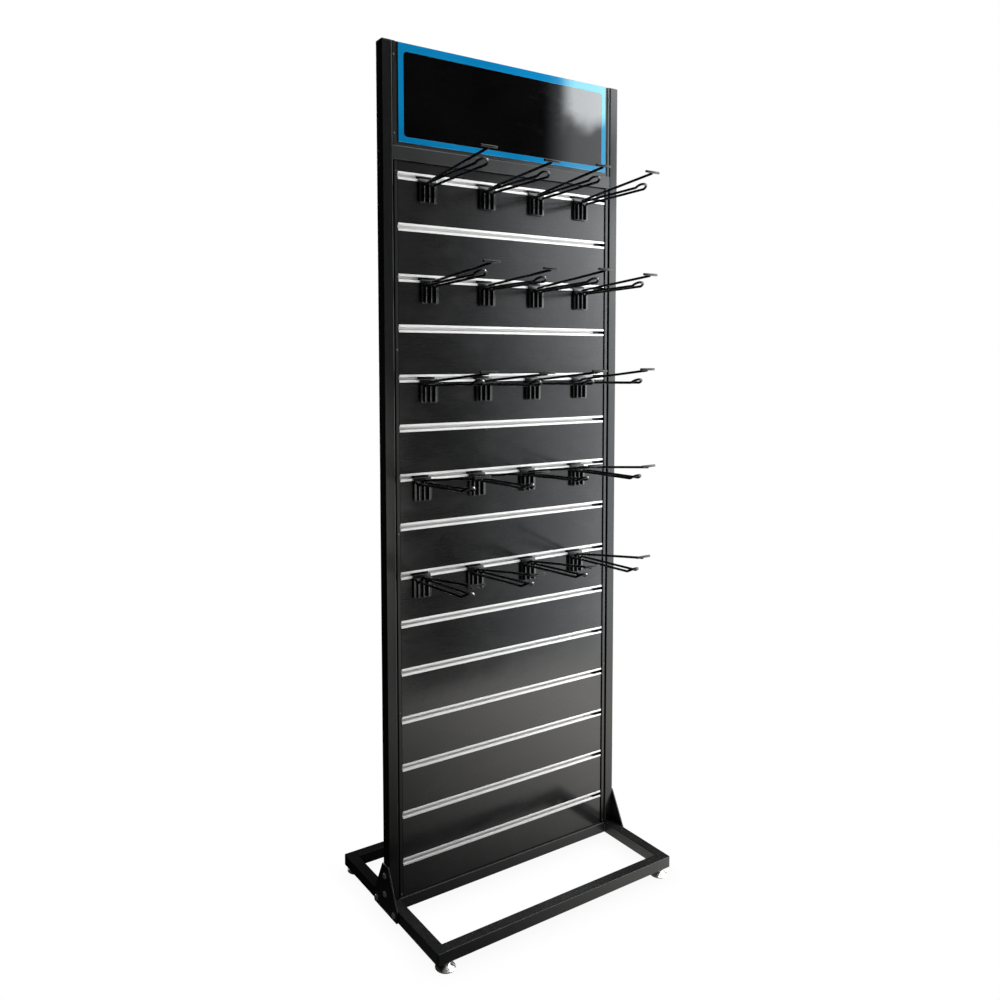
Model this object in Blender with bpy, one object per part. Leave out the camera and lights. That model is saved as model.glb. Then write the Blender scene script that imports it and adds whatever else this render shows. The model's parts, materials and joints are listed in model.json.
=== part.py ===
"""Free-standing slatwall display stand: a levelled tube base, two posts, a slotted board with
aluminium slot inserts, twenty price-arm hooks that slide along the slots, and a header sign.

Metres. +X is the viewer's right when facing the board, -Y is the front, +Z is up, z = 0 is the
floor. Sizes are written about the middle of the posts, and the last step centres the whole
footprint."""

import math
from collections import namedtuple

import bmesh
import bpy
from mathutils import Matrix, Vector

MM = 0.001
GAP = 0.3 * MM              # air between pieces that touch in the real stand
NARROW_CUT = 2 * MM         # how far the cutters reach past the faces they cut
DEEP_CUT = 5 * MM

# --- base frame ---------------------------------------------------------------------------
BASE_W = 610 * MM           # outside width, also the outside width of the posts
BASE_D = 405 * MM           # outside depth
HALF_W = BASE_W / 2
HALF_D = BASE_D / 2
RAIL = 24 * MM              # square tube of the base
RAIL_HALF = RAIL / 2
RAIL_WALL = 1.5 * MM
RAIL_R = 2.0 * MM           # outer corner radius of the tubes
RAIL_Z0 = 15.0 * MM         # underside of the base tubes
RAIL_Z1 = RAIL_Z0 + RAIL
RAIL_MID = (RAIL_Z0 + RAIL_Z1) / 2
BASE_CORNER_R = 3.5 * MM    # the mitred corners are ground round after welding
BASE_CORNER_STEPS = 5

# --- levelling feet -----------------------------------------------------------------------
FOOT_R = 20.0 * MM
FOOT_NECK_R = 7.5 * MM
FOOT_SIDES = 24
STEM_R = 4.0 * MM
STEM_TOP = 32 * MM
STEM_HOLE_R = 4.6 * MM
FOOT_X = HALF_W - 24 * MM   # foot axes
FOOT_Y = HALF_D - 12 * MM

# --- posts --------------------------------------------------------------------------------
POST_W = 22.5 * MM
POST_D = 25 * MM
POST_WALL = 1.5 * MM
POST_R = 1.6 * MM
POST_X = HALF_W - POST_W / 2
SEAM_Z = 1541.5 * MM        # lower posts end and the header posts begin here
TOP_Z = 1768.5 * MM
PLUG_DROP = 60 * MM         # how far each header post reaches down inside the lower post
PLUG_CLEAR = 0.4 * MM
PLUG_R = 1.0 * MM
BORE_R = 0.5 * MM           # corner radius of the hollow inside a header post
POST_CAP = 2.5 * MM         # solid thickness at the top of a header post

# --- channels on the posts' faces that look at each other ------------------------------------
CHANNEL_WALL = 1.4 * MM
CHANNEL_OUT = HALF_W - POST_W - GAP     # outer side of the channels
CHANNEL_IN = CHANNEL_OUT - CHANNEL_WALL
CHANNEL_BACK = 11.5 * MM
CHANNEL_BACK_LIP_X = 269.0 * MM
CHANNEL_STEP_X = 279.7 * MM             # the front part is stepped in to here
CHANNEL_STEP_Y = -6.5 * MM
CHANNEL_FRONT = -11.0 * MM
CHANNEL_FRONT_LIP_X = 272.2 * MM
HEADER_CHANNEL_FRONT = -11.3 * MM
HEADER_CHANNEL_BACK = 0.5 * MM
HEADER_CHANNEL_LIP_X = 275.8 * MM

# --- gusset plates ------------------------------------------------------------------------
GUSSET_T = 3.0 * MM
GUSSET_HALF = 50 * MM
GUSSET_TOP_HALF = 11.5 * MM
GUSSET_Z0 = 14.0 * MM
GUSSET_SHOULDER = 36.5 * MM
GUSSET_Z1 = 115 * MM
GUSSET_LOW_BEVEL = 3 * MM
GUSSET_TOP_BEVEL = 2 * MM
BOLT_HOLE_R = 3.3 * MM
GUSSET_BOLTS = (            # (y, z)
    (0.0, 91.5 * MM), (0.0, 52.5 * MM), (-37 * MM, 27.0 * MM), (37 * MM, 27.0 * MM),
)

# --- slatwall board -----------------------------------------------------------------------
BOARD_X = 269.8 * MM        # half width of the board's face
TONGUE_X = 280.4 * MM       # half width over the edge tongues that sit inside the channels
BOARD_FRONT = -8.2 * MM
BOARD_BACK = 9.8 * MM
TONGUE_FRONT = -4.0 * MM
BOARD_Z0 = 39.5 * MM
BOARD_Z1 = 1539.5 * MM
SLOTS = 15
SLOT_PITCH = 100 * MM
LOWEST_SLOT = 112.5 * MM
THROAT_H = 4.7 * MM         # half height of the routed throat
THROAT_BACK = -3.9 * MM
CAVITY_H = 8.3 * MM         # half height of the routed cavity
CAVITY_BACK = 2.3 * MM

# --- aluminium slot inserts ---------------------------------------------------------------
INSERT_FACE = -9.4 * MM     # y of the front
INSERT_LIP_H = 7.8 * MM     # half height of the lips in front of the board
INSERT_MOUTH_H = 3.2 * MM   # half height of the opening
INSERT_WALL = 1.2 * MM

# --- header -------------------------------------------------------------------------------
HEADER_RAIL_Z0 = SEAM_Z + GAP
HEADER_RAIL_Z1 = 1568.7 * MM
SIGN_Z0 = 1569.5 * MM
SIGN_Z1 = 1768.1 * MM
SIGN_X = 275.0 * MM         # half widths
SIGN_TONGUE_X = 280.0 * MM
BORDER_X = 269.0 * MM
FACE_X = 256.8 * MM
BORDER_Z0 = 1576.5 * MM
BORDER_Z1 = 1766.9 * MM
BORDER_R = 0.6 * MM
FACE_Z0 = 1587.5 * MM
FACE_Z1 = 1751.0 * MM
FACE_R = 8.0 * MM
SIGN_CORNER_STEPS = 5
SIGN_FRONT = -12.0 * MM
SKIN_BACK = SIGN_FRONT + 2.0 * MM       # back of the border and face
SIGN_TONGUE_FRONT = -7.5 * MM
SIGN_BACK = -3.5 * MM
SIGN_MID = (0.0, SIGN_FRONT, (SIGN_Z0 + SIGN_Z1) / 2)

# --- hooks: heights are from the slot's centre line ------------------------------------------
HOOK_HALF = 20.5 * MM       # half width of the back plate
HOOK_PLATE_Y0 = -13.6 * MM  # front of the back plate
HOOK_PLATE_Y1 = -11.6 * MM
HOOK_DROP = 50 * MM         # back plate below the slot's centre line
HOOK_SHOULDER = 8.0 * MM    # where the sloping shoulder under the slot meets the plate
WIRE_R = 2.6 * MM
WIRE_SIDES = 6
WIRE_Y = HOOK_PLATE_Y0 - WIRE_R + 0.4 * MM      # the wires' legs sink slightly into the plate
LEG_Z0 = -HOOK_DROP + 2 * MM
MAX_STRETCH = 1.06          # limit on how much a wire's section widens at a turn
BEND_R = 7 * MM
BEND_STEPS = 3
PRONG_X = 12 * MM           # each prong's distance from the hook's middle
PRONG_Z0 = -13.7 * MM       # prong height at the plate
PRONG_LENGTH = 175 * MM     # from the root to where the prongs turn up
TIP_TILT = math.radians(30)
TIP_STRAIGHT = 2 * MM
TIP_BEND_R = 8 * MM
TIP_BEND_STEPS = 2
TIP_QUARTER_STEPS = 4       # segments in each half of the round tip
ARM_Z0 = -7.0 * MM
ARM_LENGTH = 215 * MM
TAG_HALF = 19.0 * MM        # half length of the price-tag bar across the arm's end
TAG_R = 2.5 * MM

# The wires are bent by hand. Each row is a slot number from the top and its hooks:
# (middle along X in mm, arm's rise, arm's turn to the right, prongs' rise, prongs' turn), degrees.
HOOK_ROWS = (
    (1, ((-203, 5.9, -0.8, 2.8, 2.2), (-58, 3.5, -0.9, 0.5, 1.8),
         (71, 5.1, -1.0, 2.0, 1.5), (196, 5.8, 1.0, 1.7, 2.5))),
    (3, ((-200, 4.9, 0.1, 2.2, -0.1), (-59.5, 3.4, -0.8, 0.4, -0.3),
         (70.5, 5.0, 1.2, 1.8, 1.0), (197, 3.9, -0.2, 1.1, 0.0))),
    (5, ((-203, 4.8, -1.0, 1.4, -0.8), (-67.5, 4.2, -1.1, 0.4, -1.3),
         (62.5, 4.9, -0.5, 0.4, -0.1), (196, 5.6, -1.2, 0.6, -0.1))),
    (7, ((-219, 7.2, -0.5, 2.1, -2.5), (-85, 7.1, 0.4, 0.6, -1.0),
         (48, 8.1, 1.1, 2.0, 0.7), (190.5, 5.3, 1.8, 0.0, 1.6))),
    (9, ((-222, 7.5, -3.5, 2.5, -2.3), (-89.5, 8.0, -1.0, 2.9, 0.1),
         (50.5, 7.4, -1.8, 2.7, -0.8), (186.5, 8.0, -0.2, 0.5, 1.2))),
)

# --- finishes -----------------------------------------------------------------------------
Finish = namedtuple("Finish", "colour roughness metallic")
POWDER_BLACK = (0.022, 0.023, 0.023)
POWDER = Finish(POWDER_BLACK, roughness=0.38, metallic=0.0)
CHANNEL_POWDER = Finish(POWDER_BLACK, roughness=0.40, metallic=0.0)
BACKING_BLACK = Finish(POWDER_BLACK, roughness=0.30, metallic=0.0)
BOARD_BLACK = Finish((0.045, 0.045, 0.047), roughness=0.42, metallic=0.0)
ALUMINIUM = Finish((0.82, 0.83, 0.84), roughness=0.30, metallic=1.0)
CHROME = Finish((0.80, 0.80, 0.79), roughness=0.16, metallic=1.0)
HOOK_BLACK = Finish((0.012, 0.012, 0.013), roughness=0.20, metallic=0.0)
SIGN_BLUE = Finish((0.010, 0.235, 0.560), roughness=0.22, metallic=0.0)
SIGN_BLACK = Finish((0.008, 0.008, 0.009), roughness=0.06, metallic=0.0)


def material(name, finish):
    made = bpy.data.materials.new(name)
    made.use_nodes = True
    shader = made.node_tree.nodes["Principled BSDF"]
    shader.inputs["Base Color"].default_value = (*finish.colour, 1.0)
    shader.inputs["Roughness"].default_value = finish.roughness
    shader.inputs["Metallic"].default_value = finish.metallic
    made.diffuse_color = (*finish.colour, 1.0)
    return made


# --- objects ------------------------------------------------------------------------------
def new_object(name, shape, origin=(0.0, 0.0, 0.0)):
    """Turns a bmesh in world metres into an object whose origin is at the given point."""
    bmesh.ops.recalc_face_normals(shape, faces=shape.faces)
    bmesh.ops.translate(shape, verts=shape.verts, vec=-Vector(origin))
    mesh = bpy.data.meshes.new(name)
    shape.to_mesh(mesh)
    shape.free()
    made = bpy.data.objects.new(name, mesh)
    made.location = origin
    bpy.context.scene.collection.objects.link(made)
    return made


def piece(name, shape, finish, origin=(0.0, 0.0, 0.0)):
    """A finished piece, with a material of its own name."""
    made = new_object(name, shape, origin)
    made.data.materials.append(material(name, finish))
    return made


def add_boolean(target, tool, operation):
    modifier = target.modifiers.new(tool.name, "BOOLEAN")
    modifier.operation = operation
    modifier.solver = "EXACT"
    modifier.object = tool


def cut(target, shape, name):
    """Subtracts a hidden cutter made from shape."""
    cutter = new_object(name, shape)
    cutter.hide_render = True
    cutter.display_type = "WIRE"
    add_boolean(target, cutter, "DIFFERENCE")


# --- outlines and rings -------------------------------------------------------------------
def quarter_arc(centre_across, centre_up, radius, start, steps):
    """Points of a quarter circle that begins at start degrees."""
    angles = [math.radians(start + 90 * step / steps) for step in range(steps + 1)]
    return [
        (centre_across + radius * math.cos(angle), centre_up + radius * math.sin(angle))
        for angle in angles
    ]


def rounded(half_across, half_up, radius, steps=2):
    """A rounded rectangle about the origin."""
    points = []
    for corner, (side, end) in enumerate(((1, 1), (-1, 1), (-1, -1), (1, -1))):
        points += quarter_arc(
            side * (half_across - radius), end * (half_up - radius), radius, 90 * corner, steps
        )
    return points


def circle(centre, side, other, radius, sides):
    """Points round a centre, in the plane of two unit vectors."""
    angles = [2 * math.pi * i / sides for i in range(sides)]
    return [centre + radius * (math.cos(a) * side + math.sin(a) * other) for a in angles]


def upside_down(points):
    """Points mirrored top to bottom, in reverse order so that they carry an outline on."""
    return [(y, -z) for y, z in reversed(points)]


# Placing functions turn two outline coordinates and a station into a 3-D point.
def along_x(y, z, x):
    return (x, y, z)


def along_z(side):
    """For outlines of (distance to that side of the middle, y)."""
    return lambda distance, y, z: (side * distance, y, z)


# --- solids -------------------------------------------------------------------------------
def loft(shape, rings, closed=False):
    """Joins rings of equal length with quads. An open loft gets flat caps at both ends."""
    made = [[shape.verts.new(point) for point in ring] for ring in rings]
    count = len(made[0])
    pairs = list(zip(made, made[1:]))
    if closed:
        pairs.append((made[-1], made[0]))
    for low, high in pairs:
        for i in range(count):
            j = (i + 1) % count
            shape.faces.new((low[i], low[j], high[j], high[i]))
    if not closed:
        shape.faces.new(made[0])
        shape.faces.new(made[-1])


def lofted(rings, closed=False):
    shape = bmesh.new()
    loft(shape, rings, closed)
    return shape


def prism_rings(outline, place, low, high):
    """The two ends of an outline extruded between two stations."""
    return [[place(*point, station) for point in outline] for station in (low, high)]


def prism(outline, place, low, high):
    return lofted(prism_rings(outline, place, low, high))


def tube(half_across, half_up, radius, wall, place, low, high):
    """An open-ended tube. low and high are functions of (across, up), so ends can be mitred."""
    outer = rounded(half_across, half_up, radius)
    inner = rounded(half_across - wall, half_up - wall, max(radius - wall, 0.3 * MM))
    ends = ((outer, low), (outer, high), (inner, high), (inner, low))
    return lofted(
        [[place(*point, end(*point)) for point in outline] for outline, end in ends],
        closed=True,
    )


def square_end(station):
    return lambda across, up: station


def add_cylinder(shape, start, end, radius, sides):
    start, end = Vector(start), Vector(end)
    axis = (end - start).normalized()
    side = axis.orthogonal().normalized()
    other = axis.cross(side)
    loft(shape, [circle(at, side, other, radius, sides) for at in (start, end)])


# --- base frame: four mitred tubes and a cross tube -------------------------------------------
def foot_holes(side):
    shape = bmesh.new()
    for x in (-FOOT_X, FOOT_X):
        y = side * FOOT_Y
        low, high = RAIL_Z0 - DEEP_CUT, RAIL_Z0 + DEEP_CUT
        add_cylinder(shape, (x, y, low), (x, y, high), STEM_HOLE_R, 16)
    return shape


def corner_waste(corners):
    """What is ground off the upright edges of the base's corners."""
    inner_x, inner_y = HALF_W - BASE_CORNER_R, HALF_D - BASE_CORNER_R
    outer_x, outer_y = HALF_W + NARROW_CUT, HALF_D + NARROW_CUT
    outline = [(outer_x, outer_y), (outer_x, inner_y)]
    outline += quarter_arc(inner_x, inner_y, BASE_CORNER_R, 0, BASE_CORNER_STEPS)
    outline.append((inner_x, outer_y))
    shape = bmesh.new()
    for side_x, side_y in corners:
        placed = [(side_x * x, side_y * y) for x, y in outline]
        loft(shape, prism_rings(placed, along_z(1), RAIL_Z0 - NARROW_CUT, RAIL_Z1 + NARROW_CUT))
    return shape


def base_rail(name, side, half_length, half_spread, place):
    """One mitred tube, to one side of the middle by half_spread over its outer face."""
    middle = side * (half_spread - RAIL_HALF)

    def reach(across, up):
        return half_length - RAIL_HALF + side * across - GAP / 2

    return piece(name, tube(
        RAIL_HALF, RAIL_HALF, RAIL_R, RAIL_WALL,
        lambda across, up, along: place(middle + across, RAIL_MID + up, along),
        lambda across, up: -reach(across, up), reach,
    ), POWDER)


def build_base():
    for name, side in (("base_front_rail", -1), ("base_rear_rail", 1)):
        rail = base_rail(name, side, HALF_W, HALF_D, along_x)
        cut(rail, foot_holes(side), name + "_foot_holes")
        cut(rail, corner_waste(((-1, side), (1, side))), name + "_corner_waste")

    for name, side in (("base_left_rail", -1), ("base_right_rail", 1)):
        rail = base_rail(name, side, HALF_D, HALF_W, lambda x, z, y: (x, y, z))
        cut(rail, corner_waste(((side, -1), (side, 1))), name + "_corner_waste")

    # The cross tube's front is flush with the front of the posts.
    cross_y = -(POST_D - RAIL) / 2
    cross_end = HALF_W - RAIL - GAP
    piece("base_cross_rail", tube(
        RAIL_HALF, RAIL_HALF, RAIL_R, RAIL_WALL,
        lambda across, up, x: (x, cross_y + across, RAIL_MID + up),
        square_end(-cross_end), square_end(cross_end),
    ), POWDER)


# --- levelling feet -----------------------------------------------------------------------
FOOT_PROFILE = (            # (radius, z)
    (FOOT_R - 0.7 * MM, 0.0),
    (FOOT_R, 0.5 * MM),
    (FOOT_R, 1.4 * MM),
    (FOOT_R - 0.6 * MM, 2.0 * MM),
    (FOOT_NECK_R + 0.9 * MM, 10.2 * MM),
    (FOOT_NECK_R, 10.9 * MM),
    (FOOT_NECK_R, RAIL_Z0 - 2 * GAP),
    (STEM_R, RAIL_Z0 - 2 * GAP),
    (STEM_R, STEM_TOP - 0.8 * MM),
    (STEM_R - 0.8 * MM, STEM_TOP),
)


def build_feet():
    axis_x, axis_y = Vector((1.0, 0.0, 0.0)), Vector((0.0, 1.0, 0.0))
    for end, y in (("front", -FOOT_Y), ("rear", FOOT_Y)):
        for side, x in (("left", -FOOT_X), ("right", FOOT_X)):
            shape = lofted([
                circle(Vector((x, y, z)), axis_x, axis_y, radius, FOOT_SIDES)
                for radius, z in FOOT_PROFILE
            ])
            piece(f"levelling_foot_{end}_{side}", shape, CHROME, origin=(x, y, 0.0))


# --- posts --------------------------------------------------------------------------------
def lower_post(name, side):
    piece(name, tube(
        POST_W / 2, POST_D / 2, POST_R, POST_WALL,
        lambda across, deep, z: (side * POST_X + across, deep, z),
        square_end(RAIL_Z1 + GAP), square_end(SEAM_Z),
    ), POWDER)


def header_post(name, side):
    """Hollow from below, with a narrower plug that drops inside the lower post."""
    def ring(inset, radius, z):
        outline = rounded(POST_W / 2 - inset, POST_D / 2 - inset, radius)
        return [(side * POST_X + x, y, z) for x, y in outline]

    plug = POST_WALL + PLUG_CLEAR
    bore = plug + POST_WALL
    piece(name, lofted([
        ring(bore, BORE_R, TOP_Z - POST_CAP),
        ring(bore, BORE_R, SEAM_Z - PLUG_DROP),
        ring(plug, PLUG_R, SEAM_Z - PLUG_DROP),
        ring(plug, PLUG_R, SEAM_Z + GAP),
        ring(0.0, POST_R, SEAM_Z + GAP),
        # The top edge is eased in two slopes.
        ring(0.0, POST_R, TOP_Z - 1.2 * MM),
        ring(0.4 * MM, POST_R, TOP_Z - 0.35 * MM),
        ring(1.2 * MM, POST_R, TOP_Z),
    ]), POWDER)


# --- channels that hold the edges of the board and of the sign: (distance from middle, y) ------
PANEL_CHANNEL = (
    (CHANNEL_OUT, CHANNEL_STEP_Y),
    (CHANNEL_OUT, CHANNEL_BACK),
    (CHANNEL_BACK_LIP_X, CHANNEL_BACK),
    (CHANNEL_BACK_LIP_X, CHANNEL_BACK - CHANNEL_WALL),
    (CHANNEL_IN, CHANNEL_BACK - CHANNEL_WALL),
    (CHANNEL_IN, CHANNEL_STEP_Y + CHANNEL_WALL),
    (CHANNEL_STEP_X - CHANNEL_WALL, CHANNEL_STEP_Y + CHANNEL_WALL),
    (CHANNEL_STEP_X - CHANNEL_WALL, CHANNEL_FRONT + CHANNEL_WALL),
    (CHANNEL_FRONT_LIP_X, CHANNEL_FRONT + CHANNEL_WALL),
    (CHANNEL_FRONT_LIP_X, CHANNEL_FRONT),
    (CHANNEL_STEP_X, CHANNEL_FRONT),
    (CHANNEL_STEP_X, CHANNEL_STEP_Y),
)
HEADER_CHANNEL = (
    (CHANNEL_OUT, HEADER_CHANNEL_FRONT),
    (CHANNEL_OUT, HEADER_CHANNEL_BACK),
    (HEADER_CHANNEL_LIP_X, HEADER_CHANNEL_BACK),
    (HEADER_CHANNEL_LIP_X, HEADER_CHANNEL_BACK - CHANNEL_WALL),
    (CHANNEL_IN, HEADER_CHANNEL_BACK - CHANNEL_WALL),
    (CHANNEL_IN, HEADER_CHANNEL_FRONT + CHANNEL_WALL),
    (HEADER_CHANNEL_LIP_X, HEADER_CHANNEL_FRONT + CHANNEL_WALL),
    (HEADER_CHANNEL_LIP_X, HEADER_CHANNEL_FRONT),
)


def channel(name, side, outline, low, high):
    piece(name, prism(outline, along_z(side), low, high), CHANNEL_POWDER)


# --- gusset plates that bolt each post to the base --------------------------------------------
GUSSET = (                  # (y, z)
    (-GUSSET_HALF, GUSSET_Z0 + GUSSET_LOW_BEVEL),
    (-GUSSET_HALF + GUSSET_LOW_BEVEL, GUSSET_Z0),
    (GUSSET_HALF - GUSSET_LOW_BEVEL, GUSSET_Z0),
    (GUSSET_HALF, GUSSET_Z0 + GUSSET_LOW_BEVEL),
    (GUSSET_HALF, GUSSET_SHOULDER),
    (GUSSET_TOP_HALF, GUSSET_Z1 - GUSSET_TOP_BEVEL),
    (GUSSET_TOP_HALF - GUSSET_TOP_BEVEL, GUSSET_Z1),
    (-GUSSET_TOP_HALF + GUSSET_TOP_BEVEL, GUSSET_Z1),
    (-GUSSET_TOP_HALF, GUSSET_Z1 - GUSSET_TOP_BEVEL),
    (-GUSSET_HALF, GUSSET_SHOULDER),
)


def gusset_plate(name, side):
    inner = HALF_W + GAP
    plate = piece(name, prism(GUSSET, along_x, side * inner, side * (inner + GUSSET_T)), POWDER)
    hole_in = side * (HALF_W - NARROW_CUT)
    hole_out = side * (HALF_W + 2 * GUSSET_T + NARROW_CUT)
    holes = bmesh.new()
    for y, z in GUSSET_BOLTS:
        add_cylinder(holes, (hole_in, y, z), (hole_out, y, z), BOLT_HOLE_R, 12)
    cut(plate, holes, name + "_bolt_holes")


# --- slatwall board and slot inserts: outlines are (y, z) -------------------------------------
def slot_z(number):
    """Centre height of a slot, numbered from the top."""
    return LOWEST_SLOT + (SLOTS - number) * SLOT_PITCH


def raised(points, height):
    return [(y, height + z) for y, z in points]


def build_board():
    upper_slot = [
        (BOARD_FRONT, THROAT_H), (THROAT_BACK, THROAT_H),
        (THROAT_BACK, CAVITY_H), (CAVITY_BACK, CAVITY_H),
    ]
    slot = upper_slot + upside_down(upper_slot)
    outline = [(BOARD_BACK, BOARD_Z0), (BOARD_BACK, BOARD_Z1), (BOARD_FRONT, BOARD_Z1)]
    for number in range(1, SLOTS + 1):
        outline += raised(slot, slot_z(number))
    outline.append((BOARD_FRONT, BOARD_Z0))
    board = piece("slatwall_board", prism(outline, along_x, -TONGUE_X, TONGUE_X), BOARD_BLACK)

    # Rebates in front of the tongues, down both edges.
    front, outer = BOARD_FRONT - DEEP_CUT, TONGUE_X + DEEP_CUT
    rebate = [(BOARD_X, front), (outer, front), (outer, TONGUE_FRONT), (BOARD_X, TONGUE_FRONT)]
    rebates = bmesh.new()
    for side in (-1, 1):
        loft(rebates, prism_rings(
            rebate, along_z(side), BOARD_Z0 - DEEP_CUT, BOARD_Z1 + DEEP_CUT
        ))
    cut(board, rebates, "board_edge_rebates")


def build_inserts():
    lip_back = BOARD_FRONT - GAP
    throat = THROAT_H - GAP
    cavity = CAVITY_H - GAP
    neck = THROAT_BACK + GAP
    back = CAVITY_BACK - GAP
    outer = [               # upper half, front to back
        (INSERT_FACE, INSERT_LIP_H), (lip_back, INSERT_LIP_H), (lip_back, throat),
        (neck, throat), (neck, cavity), (back, cavity),
    ]
    inner = [               # upper half, back to front
        (back - INSERT_WALL, cavity - INSERT_WALL), (neck + INSERT_WALL, cavity - INSERT_WALL),
        (neck + INSERT_WALL, INSERT_MOUTH_H), (INSERT_FACE, INSERT_MOUTH_H),
    ]
    section = outer + upside_down(outer) + upside_down(inner) + inner
    for number in range(1, SLOTS + 1):
        shape = prism(raised(section, slot_z(number)), along_x, -BOARD_X, BOARD_X)
        piece(f"slot_insert_{number:02d}", shape, ALUMINIUM)


# --- header: bottom rail and the sliding sign -------------------------------------------------
def build_header_rail():
    middle = (HEADER_RAIL_Z0 + HEADER_RAIL_Z1) / 2
    piece("header_bottom_rail", tube(
        POST_D / 2, (HEADER_RAIL_Z1 - HEADER_RAIL_Z0) / 2, POST_R, POST_WALL,
        lambda deep, up, x: (x, deep, middle + up),
        square_end(-CHANNEL_OUT), square_end(CHANNEL_OUT),
    ), POWDER)


SIGN_BACKING = (            # (x, y)
    (-SIGN_X, SKIN_BACK + GAP), (SIGN_X, SKIN_BACK + GAP),
    (SIGN_X, SIGN_TONGUE_FRONT), (SIGN_TONGUE_X, SIGN_TONGUE_FRONT),
    (SIGN_TONGUE_X, SIGN_BACK), (-SIGN_TONGUE_X, SIGN_BACK),
    (-SIGN_TONGUE_X, SIGN_TONGUE_FRONT), (-SIGN_X, SIGN_TONGUE_FRONT),
)


def sign_ring(y, half_width, low, high, radius, grow=0.0):
    """An upright rounded rectangle, enlarged all round by grow."""
    middle = (low + high) / 2
    half_height = (high - low) / 2
    outline = rounded(half_width + grow, half_height + grow, radius + grow, SIGN_CORNER_STEPS)
    return [(x, y, middle + z) for x, z in outline]


def build_sign():
    backing = prism(SIGN_BACKING, along_z(1), SIGN_Z0, SIGN_Z1)
    piece("sign_backing", backing, BACKING_BLACK, origin=SIGN_MID)

    border = (BORDER_X, BORDER_Z0, BORDER_Z1, BORDER_R)
    face = (FACE_X, FACE_Z0, FACE_Z1, FACE_R)
    frame = lofted([
        sign_ring(SIGN_FRONT, *border),
        sign_ring(SKIN_BACK, *border),
        sign_ring(SKIN_BACK, *face, grow=GAP),
        sign_ring(SIGN_FRONT, *face, grow=GAP),
    ], closed=True)
    piece("sign_border", frame, SIGN_BLUE, origin=SIGN_MID)

    panel = lofted([sign_ring(SIGN_FRONT, *face), sign_ring(SKIN_BACK, *face)])
    piece("sign_face", panel, SIGN_BLACK, origin=SIGN_MID)


# --- hooks --------------------------------------------------------------------------------
HOOK_PLATE = (              # (y, z): a flat plate with a shoulder and a tongue into the slot
    (HOOK_PLATE_Y0, -HOOK_DROP),
    (HOOK_PLATE_Y1, -HOOK_DROP),
    (HOOK_PLATE_Y1, -HOOK_SHOULDER - 0.6 * MM),
    (-9.8 * MM, -2.9 * MM),
    (0.5 * MM, -2.9 * MM),
    (0.5 * MM, 6.2 * MM),
    (-1.0 * MM, 6.2 * MM),
    (-1.0 * MM, -1.4 * MM),
    (-10.3 * MM, -1.4 * MM),
    (-10.9 * MM, -1.8 * MM),
    (HOOK_PLATE_Y0, -HOOK_SHOULDER),
)
UP = Vector((0.0, 0.0, 1.0))


def wire(path):
    """A wire of round section along a path, with its section carried without twist."""
    legs = [(after - before).normalized() for before, after in zip(path, path[1:])]
    side = Vector((1.0, 0.0, 0.0))
    rings = []
    for at, into, out in zip(path, legs[:1] + legs, legs + legs[-1:]):
        axis = (into + out).normalized()
        side = (side - side.dot(axis) * axis).normalized()
        # Widened at a turn, so that the straight parts keep their thickness.
        stretch = min(1.0 / math.sqrt((1.0 + into.dot(out)) / 2.0), MAX_STRETCH)
        rings.append(circle(at, side, axis.cross(side), WIRE_R * stretch, WIRE_SIDES))
    return lofted(rings)


def bend(corner, into, out, radius, steps):
    """Points of an arc of the given radius that rounds the corner between two directions."""
    angle = math.acos(max(-1.0, min(1.0, into.dot(out))))
    start = corner - into * (radius * math.tan(angle / 2))
    centre = start + (out - into * into.dot(out)).normalized() * radius
    normal = into.cross(out).normalized()
    return [
        centre + Matrix.Rotation(angle * i / steps, 3, normal) @ (start - centre)
        for i in range(steps + 1)
    ]


def heading(rise, turn):
    """A unit direction towards the front, tilted up by rise and turned to the right by turn."""
    return Vector((
        math.sin(turn) * math.cos(rise), -math.cos(turn) * math.cos(rise), math.sin(rise)
    ))


def rightward(turn):
    """The level direction square to a heading with this turn."""
    return Vector((math.cos(turn), math.sin(turn), 0.0))


def prong_path(rise, turn):
    """Both prongs are one wire: up the left leg, out, round the raised tip and back."""
    tip = heading(TIP_TILT, turn)
    across = rightward(turn)
    middle_knee = Vector((0.0, WIRE_Y, PRONG_Z0)) + heading(rise, turn) * PRONG_LENGTH
    centre = middle_knee + tip * TIP_STRAIGHT

    def half(side):
        root = Vector((side * PRONG_X, WIRE_Y, PRONG_Z0))
        knee = middle_knee + across * (side * PRONG_X)
        along = (knee - root).normalized()
        path = [Vector((side * PRONG_X, WIRE_Y, LEG_Z0))]
        path += bend(root, UP, along, BEND_R, BEND_STEPS)
        path += bend(knee, along, tip, TIP_BEND_R, TIP_BEND_STEPS)
        for i in range(1, TIP_QUARTER_STEPS):
            angle = math.pi / 2 * i / TIP_QUARTER_STEPS
            sideways = across * (side * PRONG_X * math.cos(angle))
            path.append(centre + sideways + tip * (PRONG_X * math.sin(angle)))
        return path

    return half(-1) + [centre + tip * PRONG_X] + half(1)[::-1]


def arm_path(rise, turn):
    out = heading(rise, turn)
    root = Vector((0.0, WIRE_Y, ARM_Z0))
    path = [Vector((0.0, WIRE_Y, LEG_Z0))]
    path += bend(root, UP, out, BEND_R, BEND_STEPS)
    path.append(root + out * ARM_LENGTH)
    return path


def tag_bar(arm_end, turn):
    middle = arm_end + Vector((0.0, -TAG_R * 0.2, WIRE_R * 0.9))
    half = rightward(turn) * TAG_HALF
    shape = bmesh.new()
    add_cylinder(shape, middle - half, middle + half, TAG_R, WIRE_SIDES)
    return shape


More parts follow.
